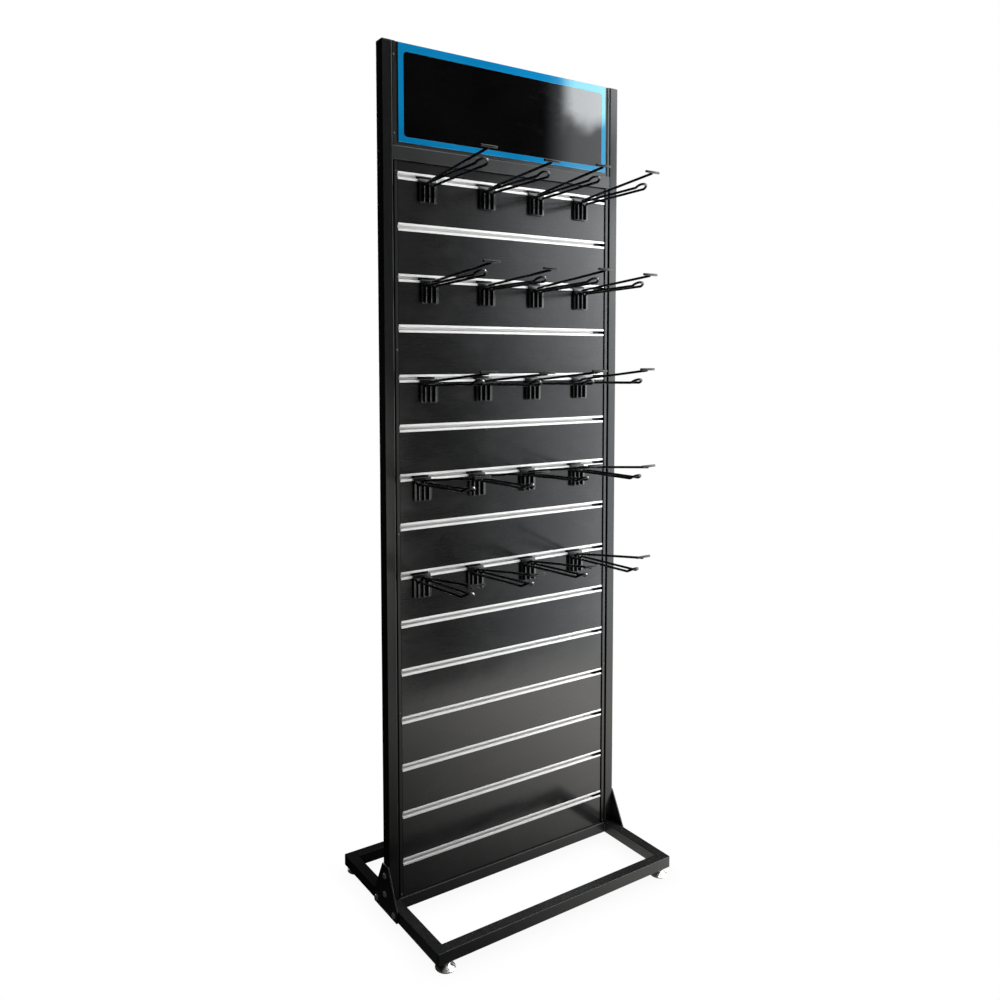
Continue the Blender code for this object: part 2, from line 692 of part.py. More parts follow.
def hook_mesh(arm_rise, arm_turn, prong_rise, prong_turn):
    """One hook about its own slot's centre line, as one closed body. Angles in radians."""
    arm = arm_path(arm_rise, arm_turn)
    plate = new_object("hook_plate", prism(HOOK_PLATE, along_x, -HOOK_HALF, HOOK_HALF))
    others = [
        new_object("hook_prongs", wire(prong_path(prong_rise, prong_turn))),
        new_object("hook_arm", wire(arm)),
        new_object("hook_tag_bar", tag_bar(arm[-1], arm_turn)),
    ]
    for other in others:
        add_boolean(plate, other, "UNION")
    bpy.context.view_layer.update()
    depsgraph = bpy.context.evaluated_depsgraph_get()
    whole = bpy.data.meshes.new_from_object(plate.evaluated_get(depsgraph))
    for part in [plate] + others:
        bpy.data.objects.remove(part, do_unlink=True)
    return whole


def build_hooks():
    for row, (slot, hooks) in enumerate(HOOK_ROWS, start=1):
        for column, (middle, *angles) in enumerate(hooks, start=1):
            name = f"hook_r{row}_{column}"
            mesh = hook_mesh(*map(math.radians, angles))
            mesh.name = name
            mesh.materials.clear()
            mesh.materials.append(material(name, HOOK_BLACK))
            hook = bpy.data.objects.new(name, mesh)
            hook.location = (middle * MM, 0.0, slot_z(slot))
            bpy.context.scene.collection.objects.link(hook)


def centre_footprint():
    """Puts the world origin in the middle of the footprint's depth, hooks included."""
    bpy.context.view_layer.update()
    depths = [
        (made.matrix_world @ vertex.co).y
        for made in bpy.context.scene.objects if not made.hide_render
        for vertex in made.data.vertices
    ]
    setback = -round((min(depths) + max(depths)) / 2, 4)
    for made in bpy.context.scene.objects:
        made.location.y += setback


for old in list(bpy.data.objects):
    bpy.data.objects.remove(old, do_unlink=True)

build_base()
build_feet()
for label, side in (("left", -1), ("right", 1)):
    lower_post(f"{label}_post", side)
    header_post(f"header_{label}_post", side)
    channel(f"{label}_panel_channel", side, PANEL_CHANNEL, RAIL_Z1 + GAP, SEAM_Z - GAP)
    channel(f"header_{label}_channel", side, HEADER_CHANNEL, HEADER_RAIL_Z1 + GAP, SIGN_Z1)
    gusset_plate(f"{label}_gusset_plate", side)
build_board()
build_inserts()
build_header_rail()
build_sign()
build_hooks()
centre_footprint()
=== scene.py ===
"""A shop display stand: a slatwall board between two posts on a tube base with levelling feet,
price-arm hooks in the board's slots and a bordered sign above it.

Metres, +Z up, floor at z = 0, front towards -Y, left towards -X. Pieces are built about the
posts' middle plane (y = 0) and then moved back by SETBACK into the shared frame.
"""
import json
import math

import bmesh
import bpy
from mathutils import Matrix, Vector

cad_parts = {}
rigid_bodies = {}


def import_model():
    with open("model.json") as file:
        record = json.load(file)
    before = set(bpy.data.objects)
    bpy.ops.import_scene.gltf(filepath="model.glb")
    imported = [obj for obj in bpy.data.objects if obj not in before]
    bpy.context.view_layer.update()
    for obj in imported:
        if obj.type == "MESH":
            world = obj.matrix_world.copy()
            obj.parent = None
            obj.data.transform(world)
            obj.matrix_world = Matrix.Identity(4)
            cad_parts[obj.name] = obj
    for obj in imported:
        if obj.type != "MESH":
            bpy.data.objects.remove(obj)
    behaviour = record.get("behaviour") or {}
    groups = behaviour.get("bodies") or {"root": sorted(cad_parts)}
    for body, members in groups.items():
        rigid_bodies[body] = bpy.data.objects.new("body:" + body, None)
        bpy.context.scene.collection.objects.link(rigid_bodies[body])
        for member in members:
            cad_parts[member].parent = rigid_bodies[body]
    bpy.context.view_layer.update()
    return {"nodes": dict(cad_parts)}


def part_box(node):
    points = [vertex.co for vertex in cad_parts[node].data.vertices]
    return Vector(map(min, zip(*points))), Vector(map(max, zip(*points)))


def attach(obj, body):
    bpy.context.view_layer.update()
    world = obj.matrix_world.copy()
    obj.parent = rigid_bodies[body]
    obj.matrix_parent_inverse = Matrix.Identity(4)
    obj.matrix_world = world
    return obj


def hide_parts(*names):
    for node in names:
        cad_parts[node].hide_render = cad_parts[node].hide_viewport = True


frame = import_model()
scene = bpy.context.scene

# ============================================================================ shared sizes
MM = 0.001
post_low, post_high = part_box("left_post")
SETBACK = (post_low.y + post_high.y) / 2   # the posts' middle stands this far behind the origin
SIDES = ((-1, "left"), (1, "right"))
OUTWARD = {-1: "-X", 1: "X"}

HALF_WIDTH = 305 * MM
HALF_DEPTH = 202.5 * MM
WALL = 1.5 * MM              # of every tube

RAIL = 24 * MM               # square tube of the base
RAIL_HALF = RAIL / 2
RAIL_BOTTOM = 15 * MM
RAIL_TOP = RAIL_BOTTOM + RAIL
RAIL_MID = RAIL_BOTTOM + RAIL_HALF
RAIL_RADIUS = 1.3 * MM

POST_HALF_WIDTH = 22.5 / 2 * MM
POST_HALF_DEPTH = 25 / 2 * MM
POST_RADIUS = 1.6 * MM
POST_X = HALF_WIDTH - POST_HALF_WIDTH
SEAM_Z = 1541.5 * MM         # where each post meets its header post
TOP_Z = 1768.5 * MM
PANEL_TOP = 1768.1 * MM      # of the sign's backing and channels

SHEET = 1.4 * MM             # thickness of the folded channels
CHANNEL_X = 281.5            # middle of their outer webs, in millimetres
CHANNEL_OUTER = CHANNEL_X * MM + SHEET / 2

SLOT_COUNT = 15


def slot_z(number):
    """Height of a slot's centre line; slot 1 is the top one."""
    return (112.5 + (SLOT_COUNT - number) * 100) * MM


# ============================================================================ outlines
def mm(points):
    """Turns points given in millimetres into metres."""
    return [tuple(number * MM for number in point) for point in points]


def fillet(points, radius, steps, closed=True):
    """Rounds the corners of a 2-D outline. radius is one number or one per corner."""
    out = []
    count = len(points)
    for i in range(count):
        at = Vector(points[i])
        bend = radius[i] if isinstance(radius, list) else radius
        if bend <= 0 or (not closed and i in (0, count - 1)):
            out.append(at)
            continue
        before = Vector(points[i - 1]) - at
        after = Vector(points[(i + 1) % count]) - at
        room = 0.48 * min(before.length, after.length)
        before.normalize()
        after.normalize()
        angle = math.acos(max(-1.0, min(1.0, before.dot(after))))
        if abs(angle - math.pi) < 1e-3:
            out.append(at)
            continue
        back = min(bend / math.tan(angle / 2), room)
        bend = back * math.tan(angle / 2)
        centre = at + (before + after).normalized() * (bend / math.sin(angle / 2))
        first = at + before * back - centre
        last = at + after * back - centre
        start = math.atan2(first.y, first.x)
        turn = (math.atan2(last.y, last.x) - start + math.pi) % (2 * math.pi) - math.pi
        for k in range(steps + 1):
            angle = start + turn * k / steps
            out.append(centre + bend * Vector((math.cos(angle), math.sin(angle))))
    return out


def folded(points, thickness, radius, steps):
    """Outline of a bent sheet whose middle runs along the points, radius at the middle."""
    line = fillet(points, radius, steps, closed=False)
    left, right = [], []
    for i, at in enumerate(line):
        if 0 < i < len(line) - 1:
            into = (at - line[i - 1]).normalized()
            onward = (line[i + 1] - at).normalized()
            ahead = (into + onward).normalized()
            stretch = 1.0 / max(ahead.dot(into), 0.5)
        else:
            ahead = (line[min(i + 1, len(line) - 1)] - line[max(i - 1, 0)]).normalized()
            stretch = 1.0
        normal = Vector((-ahead.y, ahead.x)) * (thickness / 2 * stretch)
        left.append(at + normal)
        right.append(at - normal)
    return left + right[::-1]


def rounded(half_x, half_y, radius, steps=6):
    """A rectangle about the origin with rounded corners."""
    points = []
    for corner in range(4):
        sign_x = 1 if corner in (0, 3) else -1
        sign_y = 1 if corner in (0, 1) else -1
        for step in range(steps + 1):
            angle = math.radians(90 * corner + 90 * step / steps)
            points.append((
                sign_x * (half_x - radius) + radius * math.cos(angle),
                sign_y * (half_y - radius) + radius * math.sin(angle),
            ))
    return points


def arc(corner, into, out, radius, steps):
    """Points that round the corner between two directions."""
    angle = math.acos(max(-1.0, min(1.0, into.dot(out))))
    start = corner - into * (radius * math.tan(angle / 2))
    centre = start + (out - into * into.dot(out)).normalized() * radius
    normal = into.cross(out).normalized()
    return [
        centre + Matrix.Rotation(angle * i / steps, 3, normal) @ (start - centre)
        for i in range(steps + 1)
    ]


# ============================================================================ solids
# Each of these takes an outline's two coordinates and a station along the piece to a point.
def along_x(y=0.0, z=0.0):
    return lambda across, over, along: (along, y + across, z + over)


def along_y(x, z):
    return lambda across, over, along: (x + across, along, z + over)


def along_z(x=0.0):
    return lambda across, over, along: (x + across, over, along)


def loft(shape, rings, closed=False):
    """Skins a row of rings and returns its two end caps, or joins the last ring to the first."""
    made = [[shape.verts.new(point) for point in ring] for ring in rings]
    count = len(made[0])
    pairs = list(zip(made, made[1:]))
    if closed:
        pairs.append((made[-1], made[0]))
    for low, high in pairs:
        for i in range(count):
            j = (i + 1) % count
            shape.faces.new((low[i], low[j], high[j], high[i]))
    if closed:
        return []
    return [shape.faces.new(made[0][::-1]), shape.faces.new(made[-1])]


def bar(shape, outline, place, low, high, bevel, segments):
    """Extrudes an outline between two stations and rounds the rims of its two ends."""
    caps = loft(shape, [[place(x, y, along) for x, y in outline] for along in (low, high)])
    rims = list({edge for cap in caps for edge in cap.edges})
    bmesh.ops.recalc_face_normals(shape, faces=shape.faces)
    bmesh.ops.bevel(
        shape, geom=rims, offset=bevel, offset_type="OFFSET", segments=segments, profile=0.5,
        affect="EDGES", clamp_overlap=True,
    )


def tube(shape, half_x, half_y, radius, place, low, high, mitre=0, chamfer=0.35 * MM):
    """An open tube with softened rims. mitre is how fast both ends grow across the section."""
    outer = rounded(half_x, half_y, radius)
    shy = rounded(half_x - chamfer, half_y - chamfer, radius)
    inner = rounded(half_x - WALL, half_y - WALL, max(radius - WALL, 0.4 * MM))

    def low_ring(outline, inward=0.0):
        return [place(x, y, low - mitre * x + inward) for x, y in outline]

    def high_ring(outline, inward=0.0):
        return [place(x, y, high + mitre * x - inward) for x, y in outline]

    loft(shape, [
        low_ring(outer, chamfer), high_ring(outer, chamfer), high_ring(shy), high_ring(inner),
        low_ring(inner), low_ring(shy),
    ], closed=True)


# Rounding of a wire's ends: distance in from the end and size of ring, both in wire radii.
WIRE_END = ((0.0, 0.55), (0.12, 0.88), (0.45, 1.0))


def sweep(shape, path, radius, sides, blunt=1.0):
    """A round wire along a path. radius is one number or a list with one per point."""
    radii = radius if isinstance(radius, list) else [radius] * len(path)
    last = len(path) - 1
    axes = []
    for i in range(len(path)):
        if i == 0:
            axes.append((path[1] - path[0]).normalized())
        elif i == last:
            axes.append((path[-1] - path[-2]).normalized())
        else:
            into = (path[i] - path[i - 1]).normalized()
            onward = (path[i + 1] - path[i]).normalized()
            axes.append((into + onward).normalized())

    def ring(at, axis, side, size):
        other = axis.cross(side)
        angles = [2 * math.pi * k / sides for k in range(sides)]
        return [at + size * (math.cos(a) * side + math.sin(a) * other) for a in angles]

    side = axes[0].orthogonal().normalized()
    rings = []
    for i, (at, axis, size) in enumerate(zip(path, axes, radii)):
        side = (side - side.dot(axis) * axis).normalized()
        if i == 0:
            for inward, scale in WIRE_END:
                rings.append(ring(at + axis * size * inward * blunt, axis, side, size * scale))
        elif i == last:
            for inward, scale in reversed(WIRE_END):
                rings.append(ring(at - axis * size * inward * blunt, axis, side, size * scale))
        else:
            rings.append(ring(at, axis, side, size))
    loft(shape, rings)


def bead(shape, start, end, radius):
    """A painted-over weld bead with its ripples."""
    start, end = Vector(start), Vector(end)
    count = max(6, int((end - start).length / (0.9 * MM)))
    path = [start.lerp(end, i / count) for i in range(count + 1)]
    radii = []
    for i in range(count + 1):
        taper = 0.72 + 0.28 * min(1.0, 4.0 * min(i, count - i) / count)
        ripple = 1.0 + 0.10 * math.cos(i * math.pi * 0.9)
        radii.append(radius * taper * ripple)
    sweep(shape, path, radii, 10)


# Where a turned point goes, from its cosine and sine parts and its height along the axis.
LATHE_AXES = {
    "Z": lambda cosine, sine, height: (cosine, sine, height),
    "X": lambda cosine, sine, height: (height, cosine, sine),
    "-X": lambda cosine, sine, height: (-height, sine, cosine),
    "-Y": lambda cosine, sine, height: (cosine, -height, sine),
}


def lathe(shape, profile, centre, sides, axis="Z"):
    """Turns (radius, height) points round an axis through centre."""
    place = LATHE_AXES[axis]
    angles = [2 * math.pi * k / sides for k in range(sides)]
    loft(shape, [
        [
            Vector(centre) + Vector(place(radius * math.cos(a), radius * math.sin(a), height))
            for a in angles
        ]
        for radius, height in profile
    ])


# ============================================================================ objects
def add_object(name, data):
    made = bpy.data.objects.new(name, data)
    scene.collection.objects.link(made)
    return made


def weighted_normals(made, weight=80, keep_sharp=True):
    modifier = made.modifiers.new("weighted_normals", "WEIGHTED_NORMAL")
    modifier.keep_sharp = keep_sharp
    modifier.weight = weight


def plain_mesh(name, shape):
    mesh = bpy.data.meshes.new(name)
    shape.to_mesh(mesh)
    shape.free()
    return mesh


def smooth_mesh(name, shape, sharp=38.0):
    """Turns a shape into a smooth mesh whose edges over `sharp` degrees stay crisp."""
    bmesh.ops.recalc_face_normals(shape, faces=shape.faces)
    limit = math.radians(sharp)
    for face in shape.faces:
        face.smooth = True
    for edge in shape.edges:
        if len(edge.link_faces) == 2 and edge.calc_face_angle(0.0) > limit:
            edge.smooth = False
    return plain_mesh(name, shape)


def set_back(shape):
    """Moves a shape from the posts' middle into the shared frame."""
    bmesh.ops.translate(shape, verts=shape.verts, vec=(0.0, SETBACK, 0.0))


def piece(name, shape, finish, nodes=(), body="stand", sharp=38.0):
    """Adds a piece built about the posts' middle; nodes are the CAD pieces it replaces."""
    set_back(shape)
    mesh = smooth_mesh(name, shape, sharp)
    mesh.materials.append(finish)
    made = add_object(name, mesh)
    weighted_normals(made)
    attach(made, body)
    if nodes:
        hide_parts(*nodes)
    return made


def carve(made, shape):
    """Takes the closed forms in shape out of a piece, and keeps the result as its mesh."""
    set_back(shape)
    bmesh.ops.recalc_face_normals(shape, faces=shape.faces)
    cutter_mesh = plain_mesh("cutter", shape)
    cutter = add_object("cutter", cutter_mesh)
    made.modifiers.clear()
    modifier = made.modifiers.new("carve", "BOOLEAN")
    modifier.operation = "DIFFERENCE"
    modifier.solver = "EXACT"
    modifier.object = cutter
    bpy.context.view_layer.update()
    evaluated = made.evaluated_get(bpy.context.evaluated_depsgraph_get())
    result = bpy.data.meshes.new_from_object(evaluated)
    made.modifiers.clear()
    weighted_normals(made)
    old = made.data
    made.data = result
    result.name = old.name + "_cut"
    bpy.data.objects.remove(cutter, do_unlink=True)
    bpy.data.meshes.remove(cutter_mesh)
    bpy.data.meshes.remove(old)


# ============================================================================ node builder
class NodeTree:
    """A small builder for the nodes of one material or world."""

    def __init__(self, owner, coordinates="Object"):
        self.owner = owner
        owner.use_nodes = True
        self.tree = owner.node_tree
        self.tree.nodes.clear()
        self.coord = self.add("TexCoord", {}).outputs[coordinates]

    def add(self, kind, inputs, **settings):
        """Adds a node; inputs maps a socket's name or number to a value or another socket."""
        node = self.tree.nodes.new("ShaderNode" + kind)
        for key, value in settings.items():
            setattr(node, key, value)
        for key, value in inputs.items():
            target = node.inputs[key]
            if isinstance(value, bpy.types.NodeSocket):
                self.tree.links.new(value, target)
            elif target.type == "RGBA":
                target.default_value = (*value, 1.0)
            else:
                target.default_value = value
        return node

    def mapped(self, scale, turn=(0, 0, 0)):
        inputs = {"Vector": self.coord, "Scale": scale, "Rotation": turn}
        return self.add("Mapping", inputs).outputs["Vector"]

    def noise(self, scale, detail=3.0, roughness=0.5, vector=None, distortion=0.0):
        return self.add("TexNoise", {
            "Vector": vector or self.coord, "Scale": scale, "Detail": detail,
            "Roughness": roughness, "Distortion": distortion,
        }).outputs["Fac"]

    def cells(self, scale):
        inputs = {"Vector": self.coord, "Scale": scale}
        return self.add("TexVoronoi", inputs).outputs["Distance"]

    def span(self, value, over=(0.0, 1.0), to=(0.0, 1.0), curve="SMOOTHSTEP"):
        """Carries the range `over` to the range `to`."""
        return self.add("MapRange", {
            "Value": value, "From Min": over[0], "From Max": over[1],
            "To Min": to[0], "To Max": to[1],
        }, interpolation_type=curve).outputs["Result"]

    def times(self, one, other):
        return self.add("Math", {0: one, 1: other}, operation="MULTIPLY").outputs[0]

    def plus(self, one, other):
        return self.add("Math", {0: one, 1: other}, operation="ADD").outputs[0]

    def mix(self, factor, one, other):
        return self.add("Mix", {0: factor, 6: one, 7: other}, data_type="RGBA").outputs[2]

    def bump(self, height, distance, strength, below=None):
        inputs = {"Strength": strength, "Distance": distance, "Height": height}
        if below is not None:
            inputs["Normal"] = below
        return self.add("Bump", inputs).outputs["Normal"]

    def axes(self):
        return self.add("SeparateXYZ", {0: self.coord}).outputs

    def split_by_ray(self, hidden, seen):
        """Shows `seen` to the camera and `hidden` to every other ray."""
        camera_ray = self.add("LightPath", {}).outputs["Is Camera Ray"]
        return self.add("MixShader", {
            0: camera_ray, 1: hidden.outputs[0], 2: seen.outputs[0],
        })

    def finish(self, shader, output="OutputMaterial"):
        self.add(output, {"Surface": shader.outputs[0]})
        return self.owner

    def surface(self, inputs):
        """Ends a material with one principled shader."""
        return self.finish(self.add("BsdfPrincipled", inputs))


def new_material(name):
    return NodeTree(bpy.data.materials.new(name))


# ============================================================================ materials
# Bump distances are in metres.
def powder_coat(name, tone=0.014, rough=0.36, wavy=0.35, specular=0.5, uneven=1.0):
    """Satin black powder coat: fine orange peel, soft handling marks, a little settled dust."""
    mat = new_material(name)
    peel = mat.noise(scale=900.0, detail=2.0, roughness=0.55)
    waves = mat.noise(scale=120.0, detail=2.0)
    cloud = mat.noise(scale=9.0, detail=4.0, roughness=0.6, distortion=0.4)
    stretched = mat.mapped(scale=(1.0, 1.0, 0.35))
    rub_and_glint_noise = mat.noise(scale=22.0, detail=5.0, roughness=0.65, vector=stretched)
    specks = mat.span(mat.cells(scale=420.0), over=(0.0, 0.13), to=(1.0, 0.0))
    patches = mat.span(mat.noise(scale=60.0, detail=2.0), over=(0.56, 0.74))
    dust = mat.times(specks, patches)
    dark = (tone * 0.80, tone * 0.82, tone * 0.84)
    light = (tone * 1.16, tone * 1.18, tone * 1.18)
    dust_colour, dust_cover, dust_roughness = (0.16, 0.155, 0.15), 0.30, 0.2
    tint = mat.mix(mat.span(cloud, over=(0.3, 0.7)), dark, light)
    tint = mat.mix(mat.times(dust, dust_cover), tint, dust_colour)
    rubbed_and_glint_spot = mat.span(rub_and_glint_noise, over=(0.3, 0.72), to=(rough - 0.05 * uneven, rough + 0.07 * uneven))
    normal = mat.bump(waves, distance=0.00012, strength=wavy)
    normal = mat.bump(peel, distance=0.00004, strength=0.5 * uneven, below=normal)
    return mat.surface({
        "Base Color": tint, "Roughness": mat.plus(rubbed_and_glint_spot, mat.times(dust, dust_roughness)),
        "Normal": normal, "Specular IOR Level": specular,
    })


def board_finish(name):
    """Black melamine: fine pearl texture, cloudy gloss, faint wiped smudges."""
    mat = new_material(name)
    pearl = mat.noise(scale=700.0, detail=2.0)
    cloud = mat.noise(
        scale=5.0, detail=5.0, roughness=0.62, vector=mat.mapped(scale=(1.0, 1.0, 1.7)),
        distortion=0.8,
    )
    wipe = mat.noise(
        scale=9.0, detail=2.5, roughness=0.55, distortion=0.5,
        vector=mat.mapped(scale=(1.0, 1.0, 2.4), turn=(0.0, 0.5, 0.0)),
    )
    smudge = mat.span(wipe, over=(0.46, 0.84))
    lengthwise = mat.mapped(scale=(0.12, 1.0, 1.0))
    grain = mat.noise(scale=240.0, detail=3.0, roughness=0.6, vector=lengthwise)
    streaks = mat.span(grain, over=(0.35, 0.75))
    smudge_colour, smudge_cover, smudge_roughness = (0.046, 0.046, 0.048), 0.22, 0.03
    grain_colour, grain_cover = (0.045, 0.045, 0.045), 0.10
    tint = mat.mix(
        mat.span(cloud, over=(0.3, 0.7)), (0.0115, 0.0117, 0.0124), (0.0165, 0.0163, 0.0165)
    )
    tint = mat.mix(mat.times(smudge, smudge_cover), tint, smudge_colour)
    tint = mat.mix(mat.times(streaks, grain_cover), tint, grain_colour)
    gloss = mat.span(cloud, over=(0.3, 0.7), to=(0.135, 0.175))
    normal = mat.bump(pearl, distance=0.00003, strength=0.5)
    sway = mat.noise(scale=14.0, detail=2.0)
    normal = mat.bump(sway, distance=0.0007, strength=0.25, below=normal)
    return mat.surface({
        "Base Color": tint, "Roughness": mat.plus(gloss, mat.times(smudge, smudge_roughness)),
        "Normal": normal, "Specular IOR Level": 0.5,
    })


def aluminium_finish(name):
    """Satin extrusion: fine die lines along its length, a few scuffs where hooks have slid."""
    mat = new_material(name)
    fine_lines = mat.mapped(scale=(2.0, 1500.0, 1500.0))
    lines = mat.noise(scale=1.0, detail=2.0, roughness=0.6, vector=fine_lines)
    broad = mat.noise(scale=1.0, detail=2.0, vector=mat.mapped(scale=(1.6, 260.0, 260.0)))
    slanted = mat.mapped(scale=(1.0, 1.0, 0.25), turn=(0.0, 0.7, 0.0))
    scuff = mat.noise(scale=34.0, detail=4.0, roughness=0.7, vector=slanted)
    marks = mat.span(scuff, over=(0.60, 0.76))
    mark_colour, mark_cover, mark_roughness = (0.60, 0.61, 0.62), 0.12, 0.08
    tint = mat.mix(mat.span(broad, over=(0.3, 0.7)), (0.84, 0.845, 0.85), (0.91, 0.91, 0.91))
    tint = mat.mix(mat.times(marks, mark_cover), tint, mark_colour)
    # Behind the front faces the metal is less metallic and painted paler as painted bounce light,
    # and painted near black at the right end as painted shade.
    x, y, _ = mat.axes()
    behind = (-0.0091, -0.0088)
    inside = mat.span(y, over=behind)
    right_end_shade = mat.span(x, over=(0.2450, 0.2480))
    # Painted bounce light: the recess is painted paler than the metal's own colour.
    painted_bounce_colour, painted_bounce_cover = (0.97, 0.97, 0.96), 0.85
    tint = mat.mix(mat.times(inside, painted_bounce_cover), tint, painted_bounce_colour)
    # Painted shade: the recess's right end is painted near black where the gap lies in shadow.
    tint = mat.mix(mat.times(right_end_shade, inside), tint, (0.004, 0.004, 0.004))
    satin = mat.span(lines, over=(0.3, 0.7), to=(0.42, 0.50))
    return mat.surface({
        "Base Color": tint, "Roughness": mat.plus(satin, mat.times(marks, mark_roughness)),
        "Metallic": mat.span(y, over=behind, to=(0.30, 0.0)),
        "Normal": mat.bump(lines, distance=0.00002, strength=0.25),
    })


def hook_finish(name):
    """Gloss black dip coat on steel wire, slightly pooled."""
    mat = new_material(name)
    pool = mat.noise(scale=140.0, detail=2.0)
    fine = mat.noise(scale=1400.0, detail=2.0)
    wear_and_glint = mat.span(mat.noise(scale=90.0, detail=4.0, roughness=0.7), over=(0.62, 0.78))
    worn_roughness = 0.10
    tint = mat.mix(
        mat.span(pool, over=(0.3, 0.7)), (0.0022, 0.0022, 0.0025), (0.0040, 0.0040, 0.0043)
    )
    gloss = mat.span(pool, over=(0.3, 0.7), to=(0.15, 0.21))
    normal = mat.bump(pool, distance=0.00010, strength=0.35)
    normal = mat.bump(fine, distance=0.00002, strength=0.4, below=normal)
    return mat.surface({
        "Base Color": tint, "Roughness": mat.plus(gloss, mat.times(wear_and_glint, worn_roughness)),
        "Normal": normal, "Specular IOR Level": 0.34,
    })


def painted_glint_finish(name):
    """A painted glint on the prong's tip: patches of bright steel colour painted where light
    glints off the loop.
    """
    mat = new_material(name)
    rub_and_glint_noise = mat.noise(scale=420.0, detail=4.0, roughness=0.65)
    # Painted highlight: the bright patches stand in for a glint of light.
    glint_patches = mat.span(rub_and_glint_noise, over=(0.36, 0.50))
    return mat.surface({
        "Base Color": mat.mix(glint_patches, (0.10, 0.10, 0.10), (0.86, 0.85, 0.83)),
        "Roughness": mat.span(rub_and_glint_noise, over=(0.3, 0.7), to=(0.34, 0.20)),
        "Metallic": mat.span(rub_and_glint_noise, over=(0.34, 0.46), to=(0.2, 1.0)),
        "Normal": mat.bump(rub_and_glint_noise, distance=0.00003, strength=0.5),
    })


def nickel_finish(name):
    """Bright turned nickel, its turning marks running round the foot."""
    mat = new_material(name)
    tangent = mat.add("Tangent", {}, direction_type="RADIAL", axis="Z")
    spots = mat.noise(scale=260.0, detail=3.0, roughness=0.6)
    tint = mat.mix(mat.span(spots, over=(0.35, 0.7)), (0.78, 0.77, 0.75), (0.90, 0.89, 0.87))
    return mat.surface({
        "Base Color": tint, "Roughness": mat.span(spots, over=(0.3, 0.75), to=(0.19, 0.25)),
        "Metallic": 1.0, "Normal": mat.bump(spots, distance=0.00001, strength=0.1),
        "Anisotropic": 0.75, "Tangent": tangent.outputs["Tangent"],
    })


def fastener_finish(name, tone, rough):
    """Dark plated fasteners, a little spotty."""
    mat = new_material(name)
    spots = mat.noise(scale=500.0, detail=3.0, roughness=0.6)
    tint = mat.mix(mat.span(spots, over=(0.35, 0.7)), (tone * 0.8,) * 3, (tone * 1.5,) * 3)
    return mat.surface({
        "Base Color": tint, "Metallic": 0.85,
        "Roughness": mat.span(spots, over=(0.3, 0.7), to=(rough - 0.06, rough + 0.08)),
        "Normal": mat.bump(spots, distance=0.00003, strength=0.4),
    })


def panel_finish(name, dark, light, specular_tint=(1.0, 1.0, 1.0)):
    """Printed panel under clear acrylic: even colour, a mirror-like surface that waves a bit."""
    mat = new_material(name)
    wave = mat.noise(scale=5.0, detail=2.0, vector=mat.mapped(scale=(1.0, 1.0, 0.5)))
    wipe = mat.noise(
        scale=26.0, detail=5.0, roughness=0.7, distortion=0.9,
        vector=mat.mapped(scale=(1.0, 1.0, 2.4), turn=(0.0, 0.6, 0.0)),
    )
    dots = mat.span(mat.cells(scale=330.0), over=(0.0, 0.11), to=(1.0, 0.0))
    patches = mat.span(mat.noise(scale=45.0, detail=2.0), over=(0.58, 0.75))
    specks = mat.times(dots, patches)
    speck_colour, speck_cover, speck_roughness = (0.45, 0.45, 0.45), 0.12, 0.2
    tint = mat.mix(mat.span(mat.noise(scale=7.0, detail=3.0), over=(0.3, 0.7)), dark, light)
    tint = mat.mix(mat.times(specks, speck_cover), tint, speck_colour)
    gloss = mat.span(wipe, over=(0.45, 0.75), to=(0.035, 0.035 + 0.055))
    return mat.surface({
        "Base Color": tint, "Roughness": mat.plus(gloss, mat.times(specks, speck_roughness)),
        "Normal": mat.bump(wave, distance=0.004, strength=0.06),
        "Specular IOR Level": 1.0, "IOR": 1.75, "Specular Tint": specular_tint,
    })


POWDER = powder_coat("powder_coat_tube")
POWDER_POST = powder_coat(
    "powder_coat_post", tone=0.006, rough=0.22, wavy=0.06, specular=0.38, uneven=0.4
)
POWDER_RAIL = powder_coat("powder_coat_rail", rough=0.32, wavy=0.06, uneven=0.4)
POWDER_CHANNEL = powder_coat(
    "powder_coat_channel", tone=0.007, rough=0.32, wavy=0.20, specular=0.40, uneven=0.6
)
POWDER_GUSSET = powder_coat("powder_coat_gusset", tone=0.012, rough=0.34)
BOARD = board_finish("board_black_melamine")
ALUMINIUM = aluminium_finish("insert_aluminium")
HOOK = hook_finish("hook_gloss_black")
# The prongs' tips get a painted highlight.
PAINTED_GLINT_TIP = painted_glint_finish("hook_worn_tip")
NICKEL = nickel_finish("foot_nickel")
ZINC = fastener_finish("fastener_black_zinc", tone=0.78, rough=0.42)
SCREW_BLACK = fastener_finish("screw_black_oxide", tone=0.12, rough=0.40)
SIGN_FACE = panel_finish(
    "sign_face_black", dark=(0.0022, 0.0022, 0.0026), light=(0.0036, 0.0036, 0.0040)
)
SIGN_BLUE = panel_finish(
    "sign_border_blue", dark=(0.0030, 0.215, 0.495), light=(0.0055, 0.250, 0.565),
    specular_tint=(0.65, 1.0, 0.62),
)
SIGN_BACK = powder_coat("sign_backing_black", tone=0.010, rough=0.30)

# ============================================================================ base
SEAT = 0.06 * MM             # hairline that stays visible at each joint
BASE_CORNER_RADIUS = 3.5 * MM
FOOT_X = HALF_WIDTH - RAIL
FOOT_Y = HALF_DEPTH - RAIL_HALF
FOOT_HOLE_RADIUS = 4.6 * MM
CROSS_Y = -(POST_HALF_DEPTH - RAIL_HALF)   # puts the cross tube's front flush with the posts'


def foot_holes(side):
    """Cutters for the two foot holes in the underside of the front or rear tube."""
    shape = bmesh.new()
    reach = 3 * MM
    profile = [(FOOT_HOLE_RADIUS, RAIL_BOTTOM - reach), (FOOT_HOLE_RADIUS, RAIL_BOTTOM + reach)]
    for x in (-FOOT_X, FOOT_X):
        lathe(shape, profile, (x, side * FOOT_Y, 0.0), 32)
    return shape


